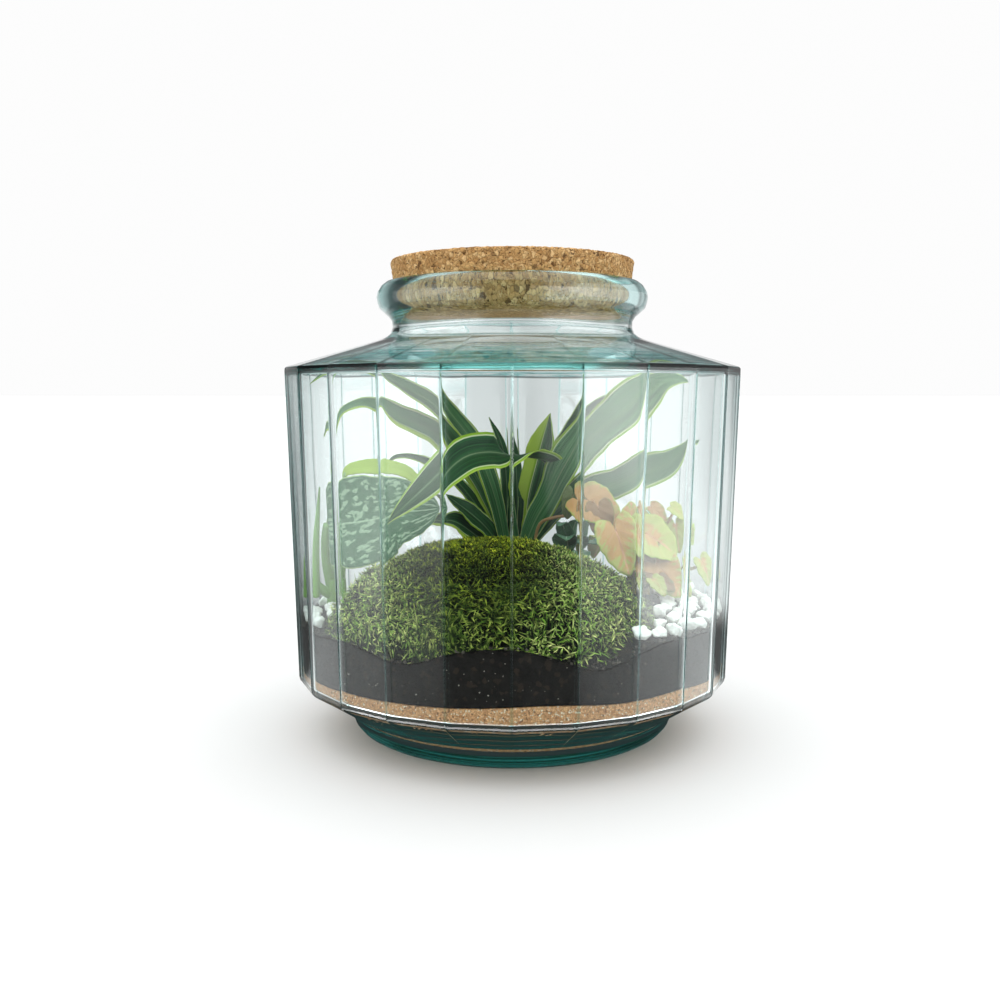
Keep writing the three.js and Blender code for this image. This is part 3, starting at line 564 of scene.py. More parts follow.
def jar_piece():
    outside = [
        (2.0, 2.4, 0), (58, 2.4, 0), (62, 0.6, 0), (64.5, 0, 0), (88, 0, 0), (93.6, 1.1, 0),
        (97.6, 3.4, 0), (100.2, 6.4, 0), (FOOT_RADIUS, 10, 0), (102.0, 13.2, 0), (103.6, 15.2, 0.05),
        (130.6, 32.4, 1), (132.6, 33.9, 1), (134.0, 35.4, 1), (BASE_RADIUS, 37.8, 1),
        (139.9, 223.6, 1), (139.7, 225.0, 1),
        (138.8, 225.8, 1), (NECK_RADIUS + 9, 242.2, 0.12), (NECK_RADIUS + 4.4, 243.9, 0),
        (NECK_RADIUS + 1.6, 246.4, 0), (NECK_RADIUS + 0.4, 250, 0), (NECK_RADIUS, 254, 0),
        (NECK_RADIUS + 1.4, 257, 0), (NECK_RADIUS + 4.6, 259.4, 0), (NECK_RADIUS + 7.6, 262, 0),
        (LIP_RADIUS - 0.5, 265.4, 0), (LIP_RADIUS, 268.4, 0), (LIP_RADIUS - 0.6, 271.6, 0),
        (LIP_RADIUS - 2.6, 275, 0), (LIP_RADIUS - 5.2, 277.2, 0), (LIP_RADIUS - 7.2, MOUTH_TOP, 0),
    ]
    inside = [
        (75.3, 277.4, 0), (74.4, 275.6, 0), (72.3, 265, 0), (71.0, 254, 0), (70.8, 248, 0), (71.8, 243.4, 0),
        (75.2, 240.2, 0), (82.0, 238.4, 0), (134.4, 222.7, INNER_FLAT), (135.3, 222.1, INNER_FLAT),
        (INNER_TOP, 221.2, INNER_FLAT), (INNER_BASE, 38.4, INNER_FLAT), (129.0, 36.4, INNER_FLAT),
        (126.4, 34.2, INNER_FLAT), (97.2, 17.0, 0), (96.0, 12.5, 0), (90.0, FLOOR, 0), (2.0, FLOOR, 0),
    ]
    outer = densified(outside, 13.0, 0.5)
    rows = outer + densified(inside, 13.0, 0.5)
    turn = len(outer)

    def place(k, angles):
        radius, height, flat = rows[k]
        inner = k >= turn
        reach = ring_radius(radius, flat, angles, INNER_EDGE if inner else OUTER_EDGE)
        points = polar(reach, angles, height)
        wave = 0.05 if 30 < height < 222 else 0.2
        ripple = wave * (2 if inner else 1) * noise_at(points, 45.0 if inner else 28.0, 7.0 if inner else 0.0)
        if 240 < height < 258:
            ripple = ripple + 0.6 * np.sin(height * 1.3 + 0.8 * np.sin(3 * angles))
        if radius < 90 and height < 20:
            ripple = 0 * ripple
        return polar(reach + ripple, angles, height)

    angles = panel_angles()
    verts, faces = revolved(len(rows), angles, place)
    off = PANEL / 2 - np.abs(np.mod(angles - FRONT, PANEL) - PANEL / 2)
    ridge = [(k < turn) * flat * np.exp(-((radius * off / RIDGE_WIDTH) ** 2))
             for k, (radius, _, flat) in enumerate(rows)]
    ridge = {"ridge": np.concatenate([*ridge, [0, 0]])}
    add_piece("jar_glass", verts, faces, glass_material(), ["jar"], attributes=ridge)


def cork_piece():
    (base, low), (top, high), edge = CORK_BASE, CORK_TOP, CORK_EDGE
    profile = [(1.0, low, 0), (base - edge, low, 0), (base, low + edge, 0), (top, high - edge, 0),
               (top - 0.5, high - 0.5, 0), (top - edge, high, 0), (1.0, high, 0)]
    rows = densified(profile, 1.3)

    def place(k, angles):
        radius, height, _ = rows[k]
        points = polar(radius, angles, height)
        near, second = cells_at(points, 2.4)
        relief = 0.4 * np.clip((second - near) * 2.2, 0, 1) - 0.3
        chips = np.clip(noise_at(points, 1.7, 5.0) - 0.34, 0, 1) * 3.2
        push = relief - chips
        if radius < 20:
            push = push * radius / 20
        if height > high - 0.6:
            return points + push[:, None] * np.array([0.0, 0.0, 1.0])
        return polar(radius + push, angles, height)

    verts, faces = revolved(len(rows), even_angles(330), place)
    add_piece("cork_granules", verts, faces, cork_material(), ["cork_stopper"])


# The filling

def grit_top(x, y):
    across, deep = x / FILL_REACH, y / FILL_REACH
    return GRIT_TOP + across + 4.5 * deep ** 2 + 0.8 * np.sin(x / 17 + y / 23)


def soil_top(x, y):
    across, deep = x / FILL_REACH, y / FILL_REACH
    mound = SOIL_RISE * (1 - across ** 2 - deep ** 2)
    angle = np.arctan2(x, -y)
    dip = sum(depth * np.exp(-(((angle - at) / wide) ** 2)) for at, wide, depth in SOIL_DIPS)
    dip = dip * np.clip((np.hypot(x, y) - 112) / 16, 0, 1)
    return SOIL_RIM + mound + 1.5 * across + 5.5 * deep ** 2 + 0.8 * np.sin(x / 14 + 2) * np.cos(y / 19) - dip


def wall_reach(height):
    """The inside of the glass at a height in the filling."""
    heights = [FLOOR, 12.5, 17.0, 33.8, 36.2, 38.4, 216.4]
    reaches = [90.0, 95.6, 96.8, 125.6, 128.2, INNER_BASE - 0.8, INNER_TOP - 0.8]
    return np.interp(height, heights, reaches)


def grit_piece():
    walls, tops, sides = 46, 10, 640

    def place(k, angles):
        if k < walls:
            share = k / (walls - 1)
            edge = grit_top(132 * np.cos(angles), 132 * np.sin(angles))
            height = (FLOOR + 0.6) + (edge - FLOOR - 0.6) * share
            reach = wall_reach(height) - 0.7
        else:
            reach = 131.0 * (1 - (k - walls + 1) / (tops + 1)) * np.ones(len(angles))
            height = grit_top(reach * np.cos(angles), reach * np.sin(angles))
        points = polar(reach, angles, height)
        near, _ = cells_at(points, 1.9, 3.0)
        grain = 0.8 * np.clip(near - 0.15, 0, 0.9)
        if k < walls:
            return polar(reach - grain, angles, height)
        return polar(reach, angles, height - grain)

    verts, faces = revolved(walls + tops, even_angles(sides), place)
    add_piece("grit_grains", verts, faces, grit_material(), ["grit_layer"])


def soil_piece():
    walls, tops, sides = 26, 62, 520

    def place(k, angles):
        rim = polar(FILL_REACH, angles, 0.0)
        x, y = rim[:, 0], rim[:, 1]
        if k < walls:
            low = grit_top(x, y) + 0.4
            high = soil_top(x, y) + 1.3 * noise_at(rim, 5.0) + 0.7 * noise_at(rim, 2.0)
            height = low + (high - low) * k / (walls - 1)
            reach = wall_reach(height) - 0.5
            points = polar(reach, angles, height)
            crumbs = 0.5 * noise_at(points, 3.0) + 0.5 * noise_at(points, 8.0)
            return polar(reach - np.clip(0.35 + crumbs, 0, 1.4), angles, height)
        reach = 132.6 * (1 - (k - walls + 1) / (tops + 1)) ** 0.8 * np.ones(len(angles))
        points = polar(reach, angles, 0)
        points[:, 2] = soil_top(points[:, 0], points[:, 1])
        points[:, 2] += 0.9 * noise_at(points, 5.0) + 0.6 * noise_at(points, 2.2, 4.0) - 0.3
        return points

    verts, faces = revolved(walls + tops, even_angles(sides), place)
    add_piece("soil_crumbs", verts, faces, soil_material(), ["soil"])


def scattered(draw, places, sizes, tones):
    """Small faceted lumps at places, as one mesh."""
    shape = bmesh.new()
    bmesh.ops.create_icosphere(shape, subdivisions=1, radius=0.5)
    ball = np.array([v.co[:] for v in shape.verts])
    index = np.array([[v.index for v in f.verts] for f in shape.faces])
    shape.free()
    verts, faces, tone = [], [], []
    for k, (place, size) in enumerate(zip(places, sizes)):
        turn = np.array(Matrix.Rotation(draw.uniform(0, TAU), 3, Vector(draw.normal(size=3)).normalized()))
        lump = ball * (size * np.array([1, draw.uniform(0.6, 1), draw.uniform(0.5, 0.9)]))
        lump = lump * draw.uniform(0.8, 1.15, (len(ball), 1))
        verts.append(lump @ turn.T + place)
        faces.append(index + k * len(ball))
        tone += [tones[k]] * len(ball)
    return np.concatenate(verts), np.concatenate(faces), tone


def fleck_piece():
    draw = np.random.RandomState(3)
    places, sizes, tones = [], [], []
    for _ in range(WALL_FLECKS):
        angle = draw.uniform(0, TAU)
        x, y = 132.9 * math.cos(angle), 132.9 * math.sin(angle)
        low, high = grit_top(x, y) + 1.5, soil_top(x, y) - 1
        height = draw.uniform(low, high)
        reach = wall_reach(height) - 0.9
        places.append([reach * math.cos(angle), reach * math.sin(angle), height])
        sizes.append(draw.uniform(0.35, 1.1))
        tones.append(draw.uniform(0, 1) ** 1.5)
    for _ in range(TOP_FLECKS):
        angle, reach = draw.uniform(0, TAU), 130 * math.sqrt(draw.uniform(0.02, 1))
        x, y = reach * math.cos(angle), reach * math.sin(angle)
        places.append([x, y, soil_top(x, y) + 0.3])
        sizes.append(draw.uniform(0.8, 2.6))
        tones.append(draw.uniform(0, 0.22) if draw.uniform() < 0.93 else 0.9)
    for _ in range(RIM_CRUMBS):
        angle, reach = draw.uniform(0, TAU), draw.uniform(124, 130)
        x, y = reach * math.cos(angle), reach * math.sin(angle)
        places.append([x, y, soil_top(x, y) + draw.uniform(-0.2, 1.2)])
        sizes.append(draw.uniform(0.9, 2.6))
        tones.append(draw.uniform(0, 0.12))
    verts, faces, tone = scattered(draw, places, sizes, tones)
    add_piece("soil_flecks", verts, faces, fleck_material(), (), False, attributes={"tone": tone})


# The moss cushion

def moss_reach(angle):
    cleft = 0.13 * np.exp(-(((angle - FRONT - 0.12) / 0.16) ** 2))
    return 1 - cleft + 0.025 * np.cos(5 * angle + 1)


def moss_dome(share, angle, shrink=0.0):
    """Points of the cushion's surface. share is 0 on top and 1 at the foot; angle runs from -pi."""
    reach = share * moss_reach(angle)
    rise = np.clip(1 - share ** 2.5, 0, 1) ** 0.62
    x = MOSS["x"] + (MOSS["half_width"] - shrink) * reach * np.cos(angle)
    y = MOSS["y"] + (MOSS["half_depth"] - shrink) * reach * np.sin(angle)
    z = MOSS["foot"] + (MOSS["top"] - shrink - MOSS["foot"]) * rise
    return np.stack(np.broadcast_arrays(x, y, z), -1)


def kept_inside(points, margin, lift):
    """Points pushed back behind the glass and up out of the soil."""
    reach = np.hypot(points[..., 0], points[..., 1])
    limit = wall_reach(points[..., 2]) - margin
    share = np.minimum(1, limit / np.maximum(reach, 1e-6))
    kept = points.copy()
    kept[..., 0] *= share
    kept[..., 1] *= share
    kept[..., 2] = np.maximum(kept[..., 2], soil_top(kept[..., 0], kept[..., 1]) + lift)
    return kept


def moss_core_piece():
    rows = 40

    def place(k, angles):
        points = moss_dome(1 - k / rows, angles, 3.0)
        points[:, 2] += 1.2 * noise_at(points, 7.0)
        return kept_inside(points, 2.0, -0.6)

    verts, faces = revolved(rows, even_angles(120), place)
    add_piece("moss_mat", verts, faces, moss_core_material(), ["moss_cushion"])


def moss_shoots(name, material, seed, count, low, high, length, width, droop):
    """Shoots of small curved leaves over a band of the cushion, from share low to share high."""
    draw = np.random.RandomState(seed)
    leaves = 8
    share = np.sqrt(draw.uniform(low ** 2, high ** 2, count))
    angle = draw.uniform(-math.pi, math.pi, count)
    step = 0.01
    root = moss_dome(share, angle, 2.6)
    ahead = moss_dome(np.minimum(share + step, 0.995), angle, 2.6) - moss_dome(share - step, angle, 2.6)
    round_ = moss_dome(share, angle + step, 2.6) - moss_dome(share, angle - step, 2.6)
    normal = unit(np.cross(ahead, round_))
    normal[normal[:, 2] < 0] *= -1
    lift = 0.9 * (1 - share[:, None] ** 3)
    normal = unit(normal + draw.normal(0, 0.3, (count, 3)) + lift * np.array([0, 0, 1.0]))
    side = unit(np.cross(normal, draw.normal(size=(count, 3))))
    other = np.cross(normal, side)
    turn = TAU * np.arange(leaves)[None, :] * 0.382 + draw.uniform(-0.4, 0.4, (count, leaves))
    rise = np.linspace(0.0, 1.0, leaves)[None, :] + draw.uniform(-0.07, 0.07, (count, leaves))
    out = np.cos(turn)[..., None] * side[:, None] + np.sin(turn)[..., None] * other[:, None]
    reach = length[0] + (length[1] - length[0]) * share[:, None] ** 2
    size = reach * draw.uniform(0.6, 1.35, (count, 1)) * (1.05 - 0.35 * rise)
    stem = 0.5 * (reach * rise)[..., None] * normal[:, None] * draw.uniform(0.7, 1.3, (count, 1, 1))
    base = root[:, None] + stem
    spread = draw.uniform(0.55, 1.1, (count, leaves)) - 0.35 * rise
    bend = droop * draw.uniform(0.5, 1.5, (count, leaves))
    path = []
    for t in (0.0, 0.35, 0.7, 1.0):
        step_out = out * (spread * size * (t + 0.25 * bend * t ** 2))[..., None]
        step_up = normal[:, None] * (size * (0.85 * t - 0.6 * bend * t ** 2))[..., None]
        path.append(base + step_out + step_up)
    path = np.stack(path, 2)
    across = np.cross(normal[:, None], out)
    half = width * draw.uniform(0.75, 1.25, (count, leaves, 1, 1)) / 2
    profile = np.array([0.6, 1.0, 0.7])[None, None, :, None]
    left = path[:, :, :3] + across[:, :, None] * half * profile
    right = path[:, :, :3] - across[:, :, None] * half * profile
    verts = np.concatenate([np.stack([left, right], 3).reshape(count, leaves, 6, 3), path[:, :, 3:]], 2)
    verts = kept_inside(verts, 0.5, 0.3)
    total = count * leaves
    start = (np.arange(total) * 7)[:, None]
    faces = (start + np.array([0, 1, 3, 2])).tolist() + (start + np.array([2, 3, 5, 4])).tolist()
    faces += (start + np.array([4, 5, 6])).tolist()
    along = np.array([0, 0, 0.35, 0.35, 0.7, 0.7, 1.0])
    tip = np.clip(0.3 * rise[..., None] + 0.7 * along, 0, 1).reshape(-1)
    tone = np.repeat(draw.uniform(0, 1, total), 7)
    tones = {"tip": tip, "tone": tone, "low": np.repeat(share, leaves * 7)}
    add_piece(name, verts.reshape(-1, 3), faces, material, (), attributes=tones)


# Leaves. lime, lean, pale and tone are colour shares, shade is a share of painted shade, and the rest is
# form.

def catmull_rom(points, count):
    """Places and directions at even steps along a centripetal Catmull-Rom curve through points."""
    points = np.asarray(points, float)
    first = 2 * points[0] - points[1]
    last = 2 * points[-1] - points[-2]
    padded = np.concatenate([[first], points, [last]])
    places = []
    for i in range(len(points) - 1):
        p0, p1, p2, p3 = padded[i:i + 4]
        gaps = [max(np.sum((b - a) ** 2) ** 0.25, 1e-6) for a, b in ((p0, p1), (p1, p2), (p2, p3))]
        d0, d1, d2 = gaps
        t1 = ((p1 - p0) / d0 - (p2 - p0) / (d0 + d1) + (p2 - p1) / d1) * d1
        t2 = ((p2 - p1) / d1 - (p3 - p1) / (d1 + d2) + (p3 - p2) / d2) * d1
        for t in np.arange(60) / 60:
            c2 = -3 * p1 + 3 * p2 - 2 * t1 - t2
            c3 = 2 * p1 - 2 * p2 + t1 + t2
            places.append(p1 + t1 * t + c2 * t ** 2 + c3 * t ** 3)
    places = np.array(places + [points[-1]])
    run = np.concatenate([[0], np.cumsum(np.linalg.norm(np.diff(places, axis=0), axis=1))])
    at = np.linspace(0, run[-1], count)
    even = np.stack([np.interp(at, run, places[:, k]) for k in range(3)], -1)
    return even, unit(np.gradient(even, axis=0))


def strap(t, widest, sheath=0.42):
    """Half the width of a strap leaf, as a share of its widest."""
    rising = sheath + (1 - sheath) * np.sin(np.pi / 2 * np.minimum(t / widest, 1))
    falling = 1 - (np.maximum(t - widest, 0) / (1 - widest)) ** 1.9
    return np.where(t < widest, rising, falling)


def ovate(t, widest, heel=0.7, blunt=0.7):
    """The same of an egg-shaped leaf. A small heel or blunt ends it bluntly at its stalk or its tip."""
    round_ = np.sin(np.pi * t ** (math.log(0.5) / math.log(widest))).clip(0)
    return round_ ** np.where(t < widest, heel, blunt)


def slab(grid, normals, thickness):
    """The points and faces of a closed blade over a grid of places, thinner at its rim."""
    rows, columns = grid.shape[:2]
    rim = np.ones((rows, columns, 1))
    rim[0] = rim[-1] = 0.35
    rim[:, 0] = rim[:, -1] = 0.35
    top = grid + normals * (thickness / 2) * rim
    under = grid - normals * (thickness / 2) * rim
    count = rows * columns
    verts = np.concatenate([top.reshape(-1, 3), under.reshape(-1, 3)])
    upper = grid_faces(rows, columns, False)
    lower = upper[:, ::-1] + count
    border = [(0, j) for j in range(columns)] + [(i, columns - 1) for i in range(1, rows)]
    border += [(rows - 1, j) for j in range(columns - 2, -1, -1)] + [(i, 0) for i in range(rows - 2, 0, -1)]
    loop = np.array([i * columns + j for i, j in border])
    after = np.roll(loop, -1)
    walls = np.stack([after, loop, loop + count, after + count], -1)
    return verts, np.concatenate([upper, lower, walls])


def blade(leaf, shape, rows=46, columns=15, thickness=0.75, **attributes):
    """The finer form of a leaf along a path, with its texture places and its attributes."""
    width, widest = leaf["width"], leaf.get("widest", 0.33 if shape is ovate else 0.45)
    fold, wave, waves = leaf.get("fold", 0.2), leaf.get("wave", 0.05), leaf.get("waves", 3)
    places, along = catmull_rom(leaf["path"], rows)
    t = np.linspace(0, 1, rows)
    faces = np.asarray(leaf["faces"], float)
    spread = np.stack([np.interp(t, np.linspace(0, 1, len(faces)), faces[:, k]) for k in range(3)], -1)
    across = unit(np.cross(spread, along))
    normal = np.cross(along, across)
    ends = {key: leaf[key] for key in ("sheath", "heel", "blunt") if key in leaf}
    half = np.maximum(width / 2 * shape(t, widest, **ends), 0.3)
    c = np.linspace(-1, 1, columns)
    rounded = np.sqrt(c ** 2 + 0.012) - 0.11
    ripple = wave * width * np.abs(c) ** 1.6 * np.sin(TAU * waves * t[:, None] + np.where(c > 0, 0, 1.7))
    ripple = ripple * np.minimum(1, 4 * t * (1 - t))[:, None]
    fine = 0.012 * width * np.abs(c) ** 3 * np.sin(TAU * 11 * t[:, None] + 3 * c)
    lift = fold * half[:, None] * rounded + ripple + fine
    sideways = across[:, None] * (half[:, None] * c)[..., None]
    grid = places[:, None] + sideways + normal[:, None] * lift[..., None]
    tilt = normal[:, None] - fold * np.sign(c)[None, :, None] * across[:, None]
    verts, quads = slab(grid, unit(tilt), thickness)
    uv = np.stack(np.broadcast_arrays(t[:, None], (c[None, :] + 1) / 2), -1).reshape(-1, 2)
    return verts, quads, np.concatenate([uv, uv]), attributes


def tube(path, radii, sides=12, count=40):
    """A round tube through points whose radius follows radii."""
    places, along = catmull_rom(path, count)
    radius = np.interp(np.linspace(0, 1, count), np.linspace(0, 1, len(radii)), radii)
    side = unit(np.cross(along, np.array([0.3, 0.9, 0.2])))
    other = np.cross(along, side)
    angles = np.arange(sides) * TAU / sides
    ring = np.cos(angles)[None, :, None] * side[:, None] + np.sin(angles)[None, :, None] * other[:, None]
    verts = (places[:, None] + ring * radius[:, None, None]).reshape(-1, 3)
    quads = grid_faces(count, sides, True).tolist()
    ends = [list(range(sides))[::-1], list(range((count - 1) * sides, count * sides))]
    return verts, quads + ends, np.zeros((len(verts), 2)), {}


def post(at, heights, *how):
    """An upright stem."""
    return tube([(*at, height) for height in heights], *how)


def bow(start, through, end, count):
    """Points on a curve with one bend."""
    a, b, c = (np.asarray(p, float) for p in (start, through, end))
    return [(1 - t) ** 2 * a + 2 * t * (1 - t) * b + t ** 2 * c for t in np.linspace(0, 1, count)]


def merged(parts):
    """Several (points, faces, uv, attributes) put together as one."""
    verts, faces, uvs, values, start = [], [], [], {}, 0
    for points, quads, uv, attributes in parts:
        verts.append(points)
        faces += [[start + int(i) for i in face] for face in quads]
        uvs.append(uv)
        for key, value in attributes.items():
            values.setdefault(key, []).append(np.broadcast_to(value, len(points)))
        start += len(points)
    values = {key: np.concatenate(value) for key, value in values.items()}
    return np.concatenate(verts), faces, np.concatenate(uvs), values


def add_leaves(name, parts, material, node):
    verts, faces, uv, attributes = merged(parts)
    add_piece(name, verts, faces, material, [node], uv=uv, attributes=attributes)


def add_stalks(name, tubes, material):
    verts, faces, _, _ = merged(tubes)
    add_piece(name, verts, faces, material, ())


DRACAENA_AT = (2.0, 32.0)
DRACAENA_LEAVES = [
    dict(path=[(9, 35, 106), (20, 31, 135), (28, 28, 151), (30, 25, 160), (24, 18, 166), (11, 2, 170),
         (-2, -22, 173), (-14, -32, 175), (-27, -42, 173), (-40, -50, 164), (-54, -60, 152), (-72, -70, 136)],
         faces=[(0.3, -1, 0), (0.3, -0.9, 0.2), (0.2, -0.4, 0.9), (0, 0.2, 1), (0, 0.3, 1), (0, 0.1, 1),
         (0, -0.9, 0.5), (0, -1, 0.35), (0, -1, 0.3), (0, -1, 0.3), (0, -1, 0.3)], width=24, widest=0.67,
         fold=0.25, lean=0.05),
    dict(path=[(-1, 29, 106), (-13, 20, 150), (-27, 13, 181), (-46, 9, 202), (-62, 7, 211), (-74, 5, 217),
         (-89, 2, 224), (-106, -1, 226), (-124, -5, 216)], faces=[(0.5, -0.8, 0.1), (0.6, -0.6, 0.4),
         (0.2, -0.6, 0.8), (0.1, -0.3, 0.9)], width=18, widest=0.4, sheath=0.6, pale=0.5),
    dict(path=[(-1, 34, 106), (-20, 33, 150), (-36, 29, 173), (-49, 27, 185), (-60, 24, 190), (-73, 20, 195),
         (-86, 16, 202), (-98, 10, 203), (-109, 4, 197), (-115, -4, 183)], faces=[(0.7, -0.6, 0.2),
         (0.3, -0.8, 0.5), (0.1, -0.8, 0.6), (-0.2, -0.4, 0.9)], width=20, widest=0.45, lean=0.22, pale=0.7),
    dict(path=[(-3, 33, 104), (-21, 30, 133), (-39, 28, 154), (-57, 25, 166), (-75, 21, 169), (-88, 17, 161)],
         faces=[(0.6, -0.7, 0.3), (0.2, -0.4, 0.9)], width=12, lime=0.06),
    dict(path=[(-4, 28, 104), (-17, 15, 124), (-36, 2, 141), (-46, -4, 147)], faces=[(0.3, -0.6, 0.7),
         (0.2, -0.8, 0.5)], width=16, sheath=0.6),
    dict(path=[(-4, 27, 102), (-20, 14, 116), (-38, 2, 129), (-56, -8, 130)], faces=[(0.3, -0.7, 0.6),
         (0.1, -0.7, 0.7)], width=19, lean=0.3),
    dict(path=[(0, 38, 106), (0, 43, 146), (-4, 45, 172), (-15, 47, 194)], faces=[(0.1, -1, 0.1),
         (0.5, -0.8, 0.3)], width=13, lime=-0.1),
    dict(path=[(1, 38, 106), (2, 50, 152), (0, 54, 187)], faces=[(0.9, -0.4, 0.1), (1, -0.2, 0.1)], width=10,
         lime=-0.1),
    dict(path=[(7, 37, 106), (11, 41, 140), (18, 39, 168), (25, 34, 197)], faces=[(-0.4, -0.9, 0.1),
         (-0.5, -0.8, 0.2)], width=23, widest=0.66, sheath=0.55, lean=0.75),
    dict(path=[(6, 27, 106), (15, 24, 127), (24, 19, 143), (33, 14, 161), (43, 8, 176), (56, 3, 188),
         (69, -1, 198), (82, -4, 210), (95, -7, 218), (110, -10, 217)], faces=[(-0.3, -0.9, 0.2),
         (-0.5, -0.8, 0.2), (-0.5, -0.7, 0.3), (-0.4, -0.8, 0.4), (-0.1, -0.6, 0.8)], width=32, widest=0.72,
         sheath=0.3, wave=0.08, pale=0.8),
    dict(path=[(5, 35, 106), (26, 39, 161), (50, 42, 198), (88, 44, 217)], faces=[(-0.7, -0.6, 0.2),
         (-0.6, -0.5, 0.7)], width=16, widest=0.5),
    dict(path=[(5, 31, 104), (29, 28, 133), (51, 23, 147), (66, 20, 151), (85, 13, 160), (99, 8, 166),
         (115, 4, 181)], faces=[(-0.4, -0.7, 0.6), (-0.3, -0.8, 0.5), (-0.3, -0.9, 0.3)], width=24,
         widest=0.7, wave=0.07, pale=0.7),
    dict(path=[(3, 37, 104), (18, 60, 138), (34, 78, 152), (54, 90, 148)], faces=[(-0.5, -0.6, 0.5),
         (0, 0.1, 1)], width=20),
    dict(path=[(0, 38, 104), (2, 66, 142), (4, 92, 154), (4, 114, 140)], faces=[(0, -1, 0.3), (0, 0.4, 1)],
         width=21),
    dict(path=[(-3, 37, 104), (-16, 60, 138), (-32, 80, 150), (-52, 92, 144)], faces=[(0.5, -0.6, 0.5),
         (0, 0.1, 1)], width=20),
]


def dracaena_pieces():
    parts = []
    for k, leaf in enumerate(DRACAENA_LEAVES):
        tones = {key: leaf.get(key, 0.0) for key in ("lime", "lean", "pale")}
        parts.append(blade(leaf, strap, tone=1.7 * k, **tones))
    add_leaves("dracaena_leaves", parts, dracaena_material(), "dracaena")
    stem = stalk_material("dracaena_stem", (0.16, 0.15, 0.07), (0.20, 0.28, 0.09))
    stems = [post(DRACAENA_AT, (60, 90, 116), [6.5, 6.3, 5.0], 20, 30)]
    add_stalks("dracaena_stem", stems, stem)


SPOTTED_AT = (-111.0, 2.0)
SPOTTED_STALKS = [
    dict(to=(-114, -7, 128), through=(-120, 2, 108), radius=2.6),
    dict(to=(-105, 2.5, 160), through=(-122, 8, 120), radius=1.6),
    dict(to=(-123.5, -6, 92), through=(-119, -2, 84), radius=2.6),
    dict(to=(-104, 26, 118), through=(-112, 10, 106), radius=2.0),
]
SPOTTED_LEAVES = [
    dict(path=[(-113, -7, 127.5), (-105, -11, 129), (-83, -20, 133), (-68, -28, 138), (-54, -34, 140),
         (-41, -38, 142)], faces=[(0.1, -0.9, 0.2), (0, -0.9, 0.3)], width=58, widest=0.26, heel=0.25,
         blunt=0.55, fold=0.1, wave=0.02),
    dict(path=[(-108, 4, 157), (-104, 2, 161), (-98, 0, 163), (-86, -3, 164), (-73, -5, 163), (-64, -8, 160),
         (-55, -12, 153)], faces=[(0, -0.8, 0.6), (0.1, -0.8, 0.6)], width=11, widest=0.4, blunt=0.4,
         wave=0.04, lime=1.0),
    dict(path=[(-105, 25, 117), (-96, 46, 128), (-84, 66, 118)], faces=[(0, 0, 1), (0.2, 0.4, 0.9)], width=34,
         wave=0.03),
]
SPOTTED_SPIKE = [(-124, -6, 82), (-122, -8, 116), (-118, -9, 152)]


def spotted_pieces():
    parts = [blade(leaf, ovate, 60, 31, 0.8, lime=leaf.get("lime", 0.0)) for leaf in SPOTTED_LEAVES]
    add_leaves("spotted_leaves", parts, spotted_material(), "spotted_plant")
    tubes = [post(SPOTTED_AT, (60, 76, 92), [5, 5, 4], 16, 20)]
    for stalk in SPOTTED_STALKS:
        path = bow((*SPOTTED_AT, 82), stalk["through"], stalk["to"], 6)
        tubes.append(tube(path, [stalk["radius"] * 1.5, stalk["radius"]]))
    tubes.append(tube(SPOTTED_SPIKE, [4.2, 2.6, 0.5]))
    stalk = stalk_material("spotted_stalk", (0.20, 0.42, 0.07), (0.24, 0.40, 0.16))
    add_stalks("spotted_stalks", tubes, stalk)


ARROWHEAD_AT = (84.0, 16.0)
ARROWHEAD = [(0, 1), (14, 0.82), (42, 0.55), (80, 0.45), (110, 0.43), (138, 0.42), (164, 0.18)]
ARROWHEAD_KEYS = ("joint", "azimuth", "dip", "size", "roll", "tone", "shade")
# shade is painted shade on a leaf that lies in shadow. The leaves at (53, -7, 138), (77, -13, 121) and (84,
# -18, 102) are dark sheets set beneath the others as painted shadow.
ARROWHEAD_LEAVES = [dict(zip(ARROWHEAD_KEYS, row)) for row in [
    ((40, 0, 146), -140, 62, 17, -45, 2.0, 0.85),
    ((46, -4, 143), -18, 26, 30, 56, 0.3, 0.0),
    ((53, -7, 138), -60, 66, 22, 30, 0.25, 0.65),
    ((63, -23, 127), -50, 60, 32, 38, 0.7, 0.0),
    ((75, -8, 124), 75, -78, 22, 10, 0.5, 0.0),
    ((77, -13, 121), -80, 64, 28, 12, 0.2, 0.8),
    ((80, -18, 124), -4, 24, 30, 58, 1.05, 0.0),
    ((87, -2, 138), -20, 30, 14, 35, 0.4, 0.3),
    ((101, -2, 138), -15, 25, 13, 35, 1.6, 0.0),
    ((103, 0, 127), -60, 70, 20, 40, 1.3, 0.0),
    ((88, -17, 105), -28, 36, 30, 44, 0.45, 0.2),
    ((84, -18, 102), -34, 22, 23, 20, 0.3, 0.85),
    ((85, -29, 97), -41, 32, 13, 24, 1.2, 0.2),
    ((119, 5, 103), -30, 54, 18, 30, 1.1, 0.0),
    ((88, 44, 122), 66, 16, 34, 8, 0.7, 0.0),
    ((64, 46, 114), 116, 20, 30, -8, 1.0, 0.0),
]]
REACHING_STALK = [(14, 24, 66), (14, 24, 90), (14, 19, 107), (18, 15, 126), (28, 8, 131), (37, 3, 133),
                  (45, -3, 139), (50, -6, 143)]


def blade_frame(leaf):
    """The direction of a leaf, its side and its face."""
    a, d, r = (math.radians(leaf[key]) for key in ("azimuth", "dip", "roll"))
    along = np.array([math.cos(d) * math.cos(a), math.cos(d) * math.sin(a), -math.sin(d)])
    left = np.array([-math.sin(a), math.cos(a), 0.0])
    across = left * math.cos(r) + np.cross(along, left) * math.sin(r)
    return along, across, np.cross(along, across)


